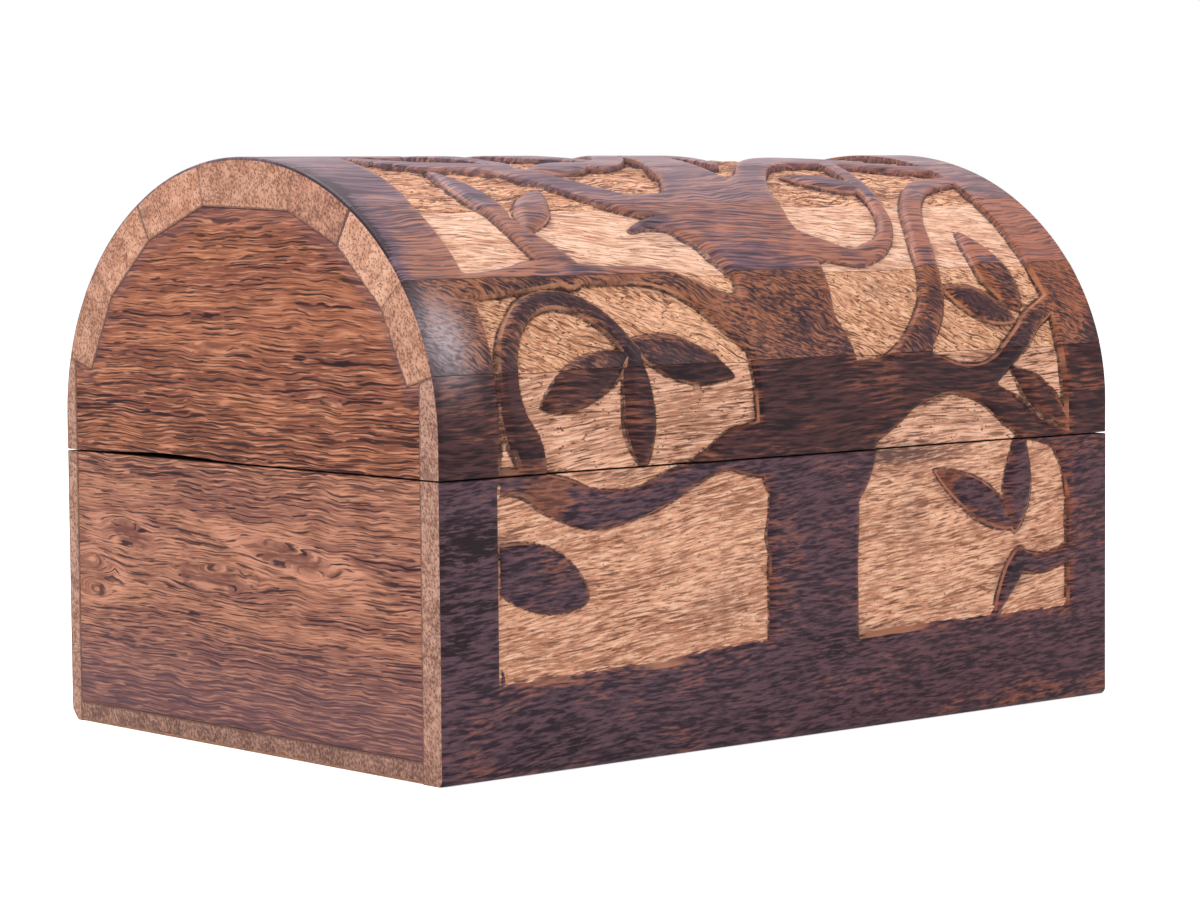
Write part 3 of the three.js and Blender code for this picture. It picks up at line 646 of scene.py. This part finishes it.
def plain_wood(name, seed, light, dark, across=False):
    """The wood of faces that aren't carved, with its grain along the length or across it."""
    wood = Shader(name)
    place = wood.place()
    if across:
        x, y, z = (wood.split(place)[i] for i in range(3))
        place = wood.join(y, z, x)
    bent = wood.grain(place, 5.0, 0.0, seed)
    streaks = wood.noise(bent, (0.04, 1.1, 1), 4.0, 0.6)
    pores = wood.ramp(wood.noise(bent, (0.14, 2.4, 1), 2.0, 0.5), 0.58, 0.76)
    tone = wood.turned(light, dark, streaks, 0.2, 0.85)
    tone = wood.mix(wood.times(pores, 0.5), tone, dark)
    return wood.finish(tone, 0.7, wood.minus(streaks, pores), 0.05, 0.35)


def end_panel_wood(name, seed, light, middle, dark):
    """The end panels: thin dark dashes on orange-brown, bent round knots by the sheet."""
    wood = Shader(name)
    sheet = wood.attribute("sheet", "Vector")
    shade, knot = wood.attribute("shade"), wood.attribute("knot")
    bent = wood.grain(sheet, 1.6, 0.9, seed)
    blotch = wood.noise(wood.place(), (0.2, 0.32, 0.9), 2.0, 0.6)
    bands = wood.noise(bent, (0.02, 0.2, 1), 3.0, 0.55)
    tone = wood.turned(middle, light, bands, 0.1, 0.9)
    tone = wood.turned(tone, "#cf9176", knot, 0.0, -1.0, 0.0, 0.7)
    hairs = wood.noise(bent, (0.12, 2.5, 1), 2.0, 0.5)
    tone = wood.turned(tone, "#d69878", hairs, 0.45, 0.05, 0.0, 0.6)
    dark_hairs = wood.ramp(wood.times_plus(shade, 0.15, hairs), 0.5, 0.85)
    tone = wood.mix(wood.times(dark_hairs, 0.7), tone, "#6b3f31")
    crowd = wood.times_plus(wood.plus(shade, knot), 0.17, wood.times(bands, -0.12))
    short = wood.times(wood.hairlines(bent, 0.95, 8, crowd, 3, 0.6), 0.9)
    marks = wood.greater(wood.hairlines(bent, 1.4, 12, crowd, 1, 0.6), short)
    marks = wood.times(marks, wood.ramp(knot, 0.05, 0.4, 1.0, 0.35))
    tone = wood.mix(wood.times(marks, wood.ramp(bands, 0.1, 0.9, 1.0, 0.8)), tone, dark)
    core = wood.times(wood.ramp(knot, 0.0, 0.8), wood.ramp(blotch, 0.0, 0.8, 0.3, 1.0))
    tone = wood.mix(core, tone, "#6c3f36")
    # Purple-grey, darker towards the bottom of the base panels and near the top edge of the lid panels.
    darkening = wood.times(wood.attribute("darkening"), wood.ramp(hairs, 0.1, 0.9, 0.5, 0.9))
    tone = wood.mix(darkening, tone, "#694c55")
    return wood.finish(tone, 0.5, wood.minus(wood.times(hairs, 0.4), marks), 0.07, 0.08)


def aged_brass(name):
    """Cloudy brass with small dark spots."""
    metal = Shader(name)
    place = metal.place()
    cloud = metal.noise(place, (0.35, 0.35, 0.35), 4.0, 0.6)
    spots = metal.ramp(metal.noise(place, (1.4, 1.4, 1.4), 3.0, 0.6), 0.7, 0.95)
    tone = metal.turned("#b08a4e", "#8a6739", cloud, 0.2, 0.8)
    tone = metal.mix(metal.times(spots, 0.4), tone, "#4a3620")
    roughness = metal.ramp(cloud, 0.3, 0.7, 0.26, 0.5)
    return metal.finish(tone, roughness, metal.plus(cloud, spots), 0.02, 0.5, 0.95)


INSIDE = plain_wood("inside_wood", 3, "#b58462", "#8a5d44")
INSIDE_ENDS = plain_wood("inside_ends_wood", 5, "#b58462", "#8a5d44", across=True)
# The faces at the saw cut are dark: a stain, and painted shade of the narrow gap.
RIM_SHADE_AND_STAIN = plain_wood("rim_shade_and_stain_wood", 8, "#4f3328", "#2f1d17")
END_TONES = {
    "front": ("#a97e6c", "#8a5f50"), "back": ("#ae8470", "#8e6352"), "pale": ("#d8a488", "#b98067"),
    "warm": ("#cf977b", "#ad745a"), "tan": ("#bf8a70", "#9f6b53"), "red": ("#b98068", "#8f5d4c"),
    "dull": ("#91695b", "#704d43"),
}

# What the boards look like: the proud wood light and dark, the scorched wood dark and light, the ground,
# its marks and how rough it is, how far down its walls the scorching goes, and the grain: how it wanders and
# swirls, how many lines it has to a millimetre, how short and strong they are and how they slope. Several
# boards share what FLAT or DOMED says.
# The purple in the scorched tones of FLAT and DOMED is painted lavender sheen as well as scorching.
FLAT = dict(
    burnt=("#221820", "#553e45"), rough=0.3, burnt_to=0.5, wander=3.0, swirl=0.0, lines=1.3, stretch=0.2,
    contrast=0.4, fibres=0.25, gloss=0.42, specular=0.14, hairs=(0.9, 3), scratches=(0.8, 3),
    tilts=(-0.05, -0.05))
DOMED = dict(
    burnt=("#382a33", "#674e56"), burnt_to=0.35, wander=6.0, swirl=2.0, lines=1.1, stretch=0.045, fibres=0.3,
    scratches=(1.4, 6), tilts=(0.0, 0.0))
UMBER = ("#1c1113", "#472d2b")
TONES = {
    "board": dict(
        FLAT, raised=("#855341", "#54332b"), floor=("#d39c7e", "#b57e63", "#f0c8aa"), marks="#704a38"),
    "rail": dict(
        FLAT, raised=("#814f3c", "#4f3027"), burnt=UMBER, floor=("#d8a286", "#b07d63", "#efc6a9"),
        marks="#4d3024", rough=0.45, lines=1.2, stretch=0.13, contrast=0.5, fibres=0.2, gloss=0.4,
        specular=0.12, hairs=(0.9, 4.5), scratches=(0.9, 7), tilts=(0.0, -0.05)),
    "stave_1": dict(
        raised=("#956043", "#6a412e"), burnt=UMBER, floor=("#d9a17e", "#c18967", "#f0c7a6"), marks="#5c3826",
        rough=0.65, burnt_to=0.45, wander=5.0, swirl=2.2, lines=1.7, stretch=0.4, contrast=0.85, fibres=0.5,
        gloss=0.4, specular=0.25, hairs=(0.8, 2.0), scratches=(0.9, 3), tilts=(0.4, 0.0)),
    "stave_2": dict(
        DOMED, raised=("#a26d57", "#7a5141"), floor=("#e0b397", "#cd9a7d", "#f8d2b8"), marks="#7a4f3c",
        rough=0.3, burnt_to=0.4, wander=4.0, swirl=0.7, lines=1.6, stretch=0.06, contrast=0.65, fibres=0.2,
        gloss=0.36, specular=0.35, hairs=(1.0, 7, 0.08), scratches=(1.1, 6), tilts=(0.03, 0.1)),
    "stave_3": dict(
        DOMED, raised=("#976d62", "#6c4a42"), floor=("#d9a07c", "#b87f5e", "#f2c8a4"), marks="#5c3421",
        rough=1.0, contrast=0.85, gloss=0.3, specular=0.5, hairs=(1.2, 9, 0.1)),
    "stave_4": dict(
        DOMED, raised=("#987069", "#6f4d48"), floor=("#cb9673", "#a87253", "#e8bd98"), marks="#553220",
        rough=1.1, contrast=0.5, gloss=0.28, specular=0.65, hairs=(1.2, 9)),
}

# How scorched the proud wood is, by girth, down the middle of the front.
BURN_GIRTHS = (0, 18, 60, 64, 82, 97, 104, 110, 128, 134, 160, 214, 240, 345)
BURN_SHARES = (0.85, 0.95, 0.9, 0.85, 0.85, 0.55, 0.45, 0.3, 0.3, 0.6, 0.7, 0.6, 0.5, 0.5)
# Places that are more or less scorched than the rest: x, girth, reach along each and how much.
# The spot at x -95, girth 92 takes scorching away under the painted sheen there.
BURN_SPOTS = [
    (-97, 40, 8, 40, 0.15), (-60, 12, 25, 5, 0.15), (-88, 8, 14, 7, -0.35), (90, 30, 8, 30, -0.2),
    (40, 8, 30, 8, -0.2), (94, 96, 8, 12, -0.45), (-12, 30, 5, 30, 0.1), (-8, 112, 8, 8, 0.35),
    (-102.5, 122, 3.6, 34, 1.5), (-99, 142, 3, 12, 0.5), (-3.5, 37, 6, 7, -0.35), (-34, 84, 14, 4, 0.5),
    (-73, 59.5, 4.5, 5, -1.6), (31, 76, 10, 3, -0.3), (45, 80, 8, 4, 0.3), (3, 112, 10, 4, 0.3),
    (46, 54.5, 5, 4, -1.1), (6, 57, 12, 6, -0.25), (-91, 118, 7, 14, -0.1), (94, 124, 10, 13, -0.5),
    (-95, 92, 9, 9, -0.5), (-24, 122, 8, 3, 1.0), (-64, 100, 15, 6, 0.5), (-49, 91, 5, 6, 0.5),
    (-81, 80, 5, 13, 0.35), (64, 80, 6, 3, 0.6), (71, 83, 4, 3, 0.6),
]
# Places with a painted pale sheen on the proud wood or, where negative, a darker patch on the ground: stains,
# and painted shade under the saw cut near girth 62.
SHEEN_SHADE_AND_STAIN_SPOTS = [
    (-96.5, 93, 6, 9, 1.0), (36, 48, 4, 8, -0.5), (-24, 32, 9, 5, -0.45), (30, 61.6, 21, 2.4, -1.9),
    (-50, 61.8, 8, 1.2, -1.0), (33, 101, 6, 3, -0.5), (-20, 118, 7, 2.5, -0.6),
]
# How dark the glue shows at each of the lid's joints, and between a board and a panel.
JOINT_DARKNESS = (0.5, 0.25, 0.9, 0.2, 0.35, 0.6, 0.3, 0.5)
PANEL_JOINT_DARKNESS = 0.7
WARP = (40, 16, 0.09)  # the slow waves of a face: size along and across and depth


def joint_darkness(girth):
    """How dark the lid's joint at a girth is, with none at the saw cut."""
    in_lid = JOINTS[0] - 1 < girth < JOINTS[-1] + 1
    return float(np.interp(girth, JOINTS, JOINT_DARKNESS)) if in_lid else 0.0


def carved_face(x, s, carved):
    """The places of a face's grid, how deep each lies, and what its material knows of it."""
    distance, fallen, rounding = carving(x, s) if carved else (np.full((len(x), len(s)), -REACH), 0, 0)
    distance = distance + layered(x, s, OUTLINE_LAYERS)
    width, slope = width_of_wall(x, s)
    at_x, at_s, distance = crisped(x, s, distance, width)
    relief = np.clip(distance / width, 0, 1)
    foot = distance - width + 2 * slope
    if carved:
        cut = groove(at_x, at_s)
        relief = np.maximum(relief, GROOVE_SHARE * cut)
        foot = np.maximum(foot, cut)
    by_edge = np.clip(1 + distance / ROUNDING, 0, 1) ** 2
    proud = fallen + rounding * (1 - 0.5 * smooth(s, SHOULDER, CROWN)) * by_edge
    chisel = layered(x, s, CHISEL_LAYERS) * (1 + 1.8 * smooth(s, *ROUGHER))
    sunk = np.interp(s, RELIEF_GIRTHS, RELIEF_DEPTHS) + chisel
    depth = relief * sunk + (1 - relief) * proud
    return at_x, at_s, depth, {"relief": relief, "carve": distance, "foot": foot}


def board(name, low, high, inner, tone, cap, body, carved=True, rounded=0.0, eases=(EDGE_EASE, EDGE_EASE),
          rim=None):
    """A lengthwise board, rail or stave, with its inner corners given. The rim is the one of its plain faces
    that lies at the saw cut."""
    cell = CELL if carved else PLAIN_CELL
    x = spaced(-HALF_LENGTH, HALF_LENGTH, cell, END_EASE)
    s = spaced(low, high, cell, max(eases))
    seed = sum(map(ord, name))
    at_x, at_s, depth, attributes = carved_face(x, s, carved)
    depth += WARP[2] * lumps(x, s, *WARP[:2], seed + 5) + end_drop(x)[:, None]
    depth += drop(s - low, eases[0]) + drop(high - s, eases[1])
    depth += drop(s if low == 0 else WHOLE_GIRTH - s, rounded)
    y, z = section(at_s, depth)
    inside = np.array([[[at, py, pz] for py, pz in inner] for at in x], float)
    grid = np.concatenate([np.stack([at_x, y, z], -1), inside], 1)

    attributes["sheet"] = np.stack([at_x, at_s, np.full(y.shape, seed * 1.37)], -1)
    attributes["burn"] = spread(x, s, BURN_SPOTS) + np.interp(s, BURN_GIRTHS, BURN_SHARES)
    attributes["sheen_shade_and_stain"] = spread(x, s, SHEEN_SHADE_AND_STAIN_SPOTS)
    for key, values in attributes.items():
        tail = np.zeros((len(x), len(inner)) + values.shape[2:])
        attributes[key] = np.concatenate([values, tail], 1)
    strips = [(True, 0)] * (len(s) - 1) + [(False, 3 if i == rim else 2) for i in range(len(inner) + 1)]
    joints = [(inner[0], inner[-1], PANEL_JOINT_DARKNESS)]
    if body == "lid":
        joints += [(inner[0], section(high), joint_darkness(high)),
                   (inner[-1], section(low), joint_darkness(low))]
    materials = [
        CarvedWood(f"{name}_wood", seed % 17, TONES[tone]).surface(),
        end_grain(f"{name}_end", seed % 7, *END_TONES[cap], joints), INSIDE, RIM_SHADE_AND_STAIN]
    piece = loft(f"{name}_carved" if carved else f"{name}_shaped", grid, strips, 1, attributes, materials)
    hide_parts(name)
    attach(piece, body)


board("front_board", 0, BASE_TOP, [(FRONT_INSIDE, BASE_TOP), (FRONT_INSIDE, 0)], "board", "front", "base",
      rounded=FRONT_FOOT, rim=0)
top = FRONT_RAIL_TOP - GLUE
board("lid_front_rail", LID_FOOT, top, [at_plane(top, FRONT_INSIDE), (FRONT_INSIDE, LID_FOOT)], "rail",
      "front", "lid", eases=(EDGE_EASE, JOINT_EASE), rim=2)
# The tone and the end of each stave from the front, and how many of them are carved.
STAVE_LOOKS = [("stave_1", "tan"), ("stave_2", "pale"), ("stave_3", "red"), ("stave_4", "tan"),
               ("stave_4", "warm"), ("stave_3", "warm"), ("stave_4", "tan")]
CARVED_STAVES = 5
for i, (tone, cap) in enumerate(STAVE_LOOKS):
    low, high = JOINTS[i] + GLUE, JOINTS[i + 1] - GLUE
    inner = [section(high, STAVE_THICKNESS), section(low, STAVE_THICKNESS)]
    board(f"lid_stave_{i + 1}", low, high, inner, tone, cap, "lid", carved=i < CARVED_STAVES,
          eases=(JOINT_EASE, JOINT_EASE))
low = BACK_RAIL_TOP + GLUE
board("lid_back_rail", low, WHOLE_GIRTH - LID_FOOT, [(BACK_INSIDE, LID_FOOT), at_plane(low, BACK_INSIDE)],
      "rail", "back", "lid", carved=False, eases=(JOINT_EASE, EDGE_EASE), rim=0)
board("back_board", WHOLE_GIRTH - BASE_TOP, WHOLE_GIRTH, [(BACK_INSIDE, 0), (BACK_INSIDE, BASE_TOP)],
      "board", "back", "base", carved=False, rounded=BACK_FOOT, rim=2)

# Knots that the end panels' grain runs round: y, z, half length, half height, tilt, how dark their core and
# rim are and how pale the wood round them is.
LEFT_BASE_KNOTS = [
    (-17.5, 43.6, 18, 2.6, 0.13, 0.5, 0.1, 1.0), (11, 37.6, 15.5, 3.5, -0.04, 0.5, 0.7, 0.3),
    (45, 45, 13, 2.6, 0.07, 0.6, 0.1, 0.8), (59, 34.5, 9, 4.5, 0.1, 0.3, 0.5, 0.8),
]
LEFT_LID_KNOTS = [(12, 88, 9, 1.2, 0.0, 0.4, 0.0, 0.3), (-34, 78, 8, 1.0, 0.1, 0.5, 0.0, 0.2)]
RIGHT_BASE_KNOTS = [(-30, 24, 16, 3.4, 0.1, 0.6, 0.8, 0.8), (28, 38, 13, 3, -0.1, 0.7, 0.3, 0.7)]
RIGHT_LID_KNOTS = [(-8, 98, 12, 2, 0.0, 0.5, 0.3, 0.4), (24, 76, 9, 1.2, 0.0, 0.5, 0.0, 0.3)]
# How far apart an end panel's places are and how wide its closer edge is, across and as shares of its height.
PANEL_GRID = (0.6, 0.4)
PANEL_GRID_SHARES = (0.009, 0.012)
PANEL_EASE, PANEL_WARP = 0.3, (30, 12, 0.12)
PANEL_HEIGHT = 60  # about how high a panel is, for its lumps
KNOT_PUSH = 0.65  # how far a knot pushes the grain aside


def knotted(y, z, share, knots, seed):
    """The lines of the grain, pushed aside by knots, and how dark or pale the knots make each place."""
    lines, knot = z.copy(), np.zeros(z.shape)
    for at_y, at_z, along, across, tilt, core, rim, halo in knots:
        dy, dz = y[:, None] - at_y, z - at_z
        u = (dy * math.cos(tilt) + dz * math.sin(tilt)) / along
        v = (dz * math.cos(tilt) - dy * math.sin(tilt)) / across
        out = np.hypot(u, v) + 0.5 * (lumps(y, share * PANEL_HEIGHT, 7, 3, seed + 9) - 0.5)
        fading = np.exp(-np.clip(out - 1, 0, None) / 2.5)
        pushed = v * np.minimum(out, 1 / np.maximum(out, 0.01)) ** 2 * fading
        lines = lines - KNOT_PUSH * across * pushed
        knot += core * smooth(out, 0.75, 0.35) + rim * np.exp(-(((out - 1) / 0.09) ** 2))
        knot -= halo * np.exp(-(((out - 1.25) / 0.35) ** 2))
    return lines, knot


def end_panel(name, side, body, foot, top_line, knots, tones, seed):
    """An end panel, as columns from its foot to its top edge."""
    low, high = FRONT_INSIDE + GLUE, BACK_INSIDE - GLUE
    bends = [y for y, _ in top_line if low < y < high]
    y = np.unique(np.concatenate([spaced(low, high, *PANEL_GRID), bends]))
    heights = np.interp(y, *zip(*top_line))
    feet = foot(y) if callable(foot) else np.full(len(y), foot)
    share = spaced(0, 1, *PANEL_GRID_SHARES)
    z = feet[:, None] + (heights - feet)[:, None] * share
    from_top = heights[:, None] - z
    from_edge = np.minimum(z - feet[:, None], from_top)
    depth = drop(np.minimum(from_edge, np.minimum(y - low, high - y)[:, None]), PANEL_EASE)
    depth += PANEL_WARP[2] * lumps(y, share * PANEL_HEIGHT, *PANEL_WARP[:2], seed)
    outer = np.stack([side * (HALF_LENGTH - depth), np.broadcast_to(y[:, None], z.shape), z], -1)
    back = np.full(len(y), side * (HALF_LENGTH - END_THICKNESS))
    inner = np.stack([np.stack([back, y, edge], -1) for edge in (heights, feet)], 1)
    grid = np.concatenate([outer, inner], 1)
    lines, knot = knotted(y, z, share, knots, seed)
    values = {
        "sheet": np.stack([outer[:, :, 1], lines, np.full(z.shape, seed * 3.1)], -1),
        "shade": smooth(z, 26, 8) + smooth(z, 54, 63) * smooth(z, 98, 66),
        # Darker towards the bottom of the base panels and near the top edge of the lid panels.
        "darkening": 0.5 * smooth(from_top, 6, 0) if body == "lid" else 0.75 * smooth(z, 32, 8),
        "knot": knot,
    }
    turn = -1 if side < 0 else 1
    attributes = {key: np.concatenate([v, v[:, -1:], v[:, :1]], 1)[::turn] for key, v in values.items()}
    strips = [(True, 0)] * (len(share) - 1) + [(False, 1)] * 3
    strips[-3 if body == "base" else -1] = (False, 2)
    materials = [end_panel_wood(f"{name}_wood", seed, *tones), INSIDE_ENDS, RIM_SHADE_AND_STAIN]
    piece = loft(f"{name}_shaped", grid[::turn], strips, 1, attributes, materials)
    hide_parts(name)
    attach(piece, body)


# The lid's bow: how far it lifts, where the saw cut is widest and how far that reaches.
BOW, BOW_Y, BOW_REACH = 0.8, 30, 19


def lid_gap(y):
    return LID_FOOT + BOW * np.exp(-(((y - BOW_Y) / BOW_REACH) ** 2))


BASE_LINE = [(FRONT_INSIDE, BASE_TOP), (BACK_INSIDE, BASE_TOP)]
LID_LINE = [
    at_plane(JOINTS[0], FRONT_INSIDE),
    *(section(girth, STAVE_THICKNESS + GLUE) for girth in JOINTS),
    at_plane(JOINTS[-1], BACK_INSIDE),
]
PANEL_FOOT = BOTTOM_THICKNESS + GLUE
LID_TONES = ("#ac6c4e", "#844c3b", "#281215")
BASE_TONES = ("#b0785f", "#8a594c", "#301920")
end_panel("left_end_panel", -1, "base", PANEL_FOOT, BASE_LINE, LEFT_BASE_KNOTS, BASE_TONES, 1)
end_panel("right_end_panel", 1, "base", PANEL_FOOT, BASE_LINE, RIGHT_BASE_KNOTS, BASE_TONES, 2)
end_panel("lid_left_end_panel", -1, "lid", lid_gap, LID_LINE, LEFT_LID_KNOTS, LID_TONES, 3)
end_panel("lid_right_end_panel", 1, "lid", LID_FOOT, LID_LINE, RIGHT_LID_KNOTS, LID_TONES, 4)


def bottom():
    """The bottom board, whose ends show below the end panels."""
    x = spaced(-HALF_LENGTH, HALF_LENGTH, 4 * PLAIN_CELL, END_EASE)
    front, back = FRONT_INSIDE + GLUE, BACK_INSIDE - GLUE
    loop = np.array([(front, 0), (front, BOTTOM_THICKNESS), (back, BOTTOM_THICKNESS), (back, 0)])
    grid = np.zeros((len(x), len(loop), 3))
    grid[:, :, 0] = x[:, None]
    grid[:, :, 1:] = loop
    grid[:, 0, 2] = grid[:, 3, 2] = end_drop(x)
    ends = end_grain("bottom_board_end", 6, *END_TONES["dull"], [(loop[1], loop[2], PANEL_JOINT_DARKNESS)])
    piece = loft("bottom_board_shaped", grid, [(False, 0)] * 4, 1, {}, [INSIDE, ends])
    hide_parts("bottom_board")
    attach(piece, "base")


bottom()

brass = aged_brass("aged_brass")
for name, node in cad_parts.items():
    if name.startswith("hinge"):
        node.data.materials.clear()
        node.data.materials.append(brass)

# The floor, the light and the camera, in metres.
FLOOR_SIZE = 6.0


def floor():
    """A floor that looks white and catches the shadows."""
    mesh = bpy.data.meshes.new("floor")
    half = FLOOR_SIZE / 2
    corners = [(-half, -half, 0), (half, -half, 0), (half, half, 0), (-half, half, 0)]
    mesh.from_pydata(corners, [], [(0, 1, 2, 3)])
    plane = link("floor", mesh)
    paint = Shader("floor_white")
    ray = paint.node("LightPath").outputs
    white = paint.node("Emission", {"Color": (1, 1, 1, 1), "Strength": 0.6}).outputs[0]
    paper = paint.node("BsdfDiffuse", {"Color": (0.92, 0.92, 0.92, 1)}).outputs[0]
    lit = paint.node("AddShader", {0: white, 1: paper}).outputs[0]
    seen = paint.greater(ray["Is Camera Ray"], ray["Is Glossy Ray"])
    surface = paint.node("MixShader", {0: seen, 1: paper, 2: lit}).outputs[0]
    paint.node("OutputMaterial", {"Surface": surface})
    mesh.materials.append(paint.owner)


floor()


def studio():
    """The room's light, the brighter and warmer room that the varnish mirrors, and a white backdrop."""
    world = Shader("studio", "worlds")
    scene.world = world.owner
    rays = world.node("LightPath").outputs
    looks = [((0.93, 0.96, 1.0, 1), 0.6), ((1.0, 0.87, 0.92, 1), 1.0), ((1, 1, 1, 1), 1.0)]
    room, mirrored, backdrop = (
        world.node("Background", {"Color": colour, "Strength": strength}).outputs[0]
        for colour, strength in looks)
    indoors = world.node("MixShader", {0: rays["Is Glossy Ray"], 1: room, 2: mirrored}).outputs[0]
    both = world.node("MixShader", {0: rays["Is Camera Ray"], 1: indoors, 2: backdrop}).outputs[0]
    world.node("OutputWorld", {"Surface": both})


studio()
LIT_PLACE = (0, 0, 0.06)


def lamp(name, place, size, power, colour):
    """A softbox that faces the box."""
    data = bpy.data.lights.new(name, "AREA")
    data.shape = "RECTANGLE"
    data.size, data.size_y = size
    data.energy = power
    data.color = colour
    light = link(name, data)
    light.location = place
    light.rotation_euler = (Vector(LIT_PLACE) - Vector(place)).to_track_quat("-Z", "Y").to_euler()


lamp("overhead", (-0.1, 0.25, 1.3), (1.4, 1.2), 16, (0.97, 0.98, 1.0))
lamp("front_left", (-1.1, -1.0, 0.8), (0.9, 0.9), 9, (1.0, 0.98, 0.96))
lamp("front_right", (0.9, -1.2, 0.5), (0.8, 0.8), 5, (1.0, 0.99, 0.97))

# The camera stands where the photograph's edges say that it stood, in millimetres and degrees.
CAMERA_PLACE = (-567.51, -660.97, 123.23)
YAW, PITCH, ROLL = (math.radians(a) for a in (40.732, -4.101, -0.508))
FOCAL_PIXELS, PHOTO_PIXELS = 3703.7, 1200
SENSOR = 36
camera_data = bpy.data.cameras.new("camera")
camera_data.sensor_width = SENSOR
camera_data.lens = FOCAL_PIXELS / PHOTO_PIXELS * SENSOR
camera_data.clip_start = 0.01
camera = link("camera", camera_data)
turns = [(-YAW, "Z"), (math.pi / 2 + PITCH, "X"), (ROLL, "Z")]
heading, nod, roll = (Matrix.Rotation(angle, 4, axis) for angle, axis in turns)
camera.matrix_world = Matrix.Translation(Vector(CAMERA_PLACE) * MM) @ heading @ nod @ roll
scene.camera = camera
scene.view_settings.view_transform = "Standard"
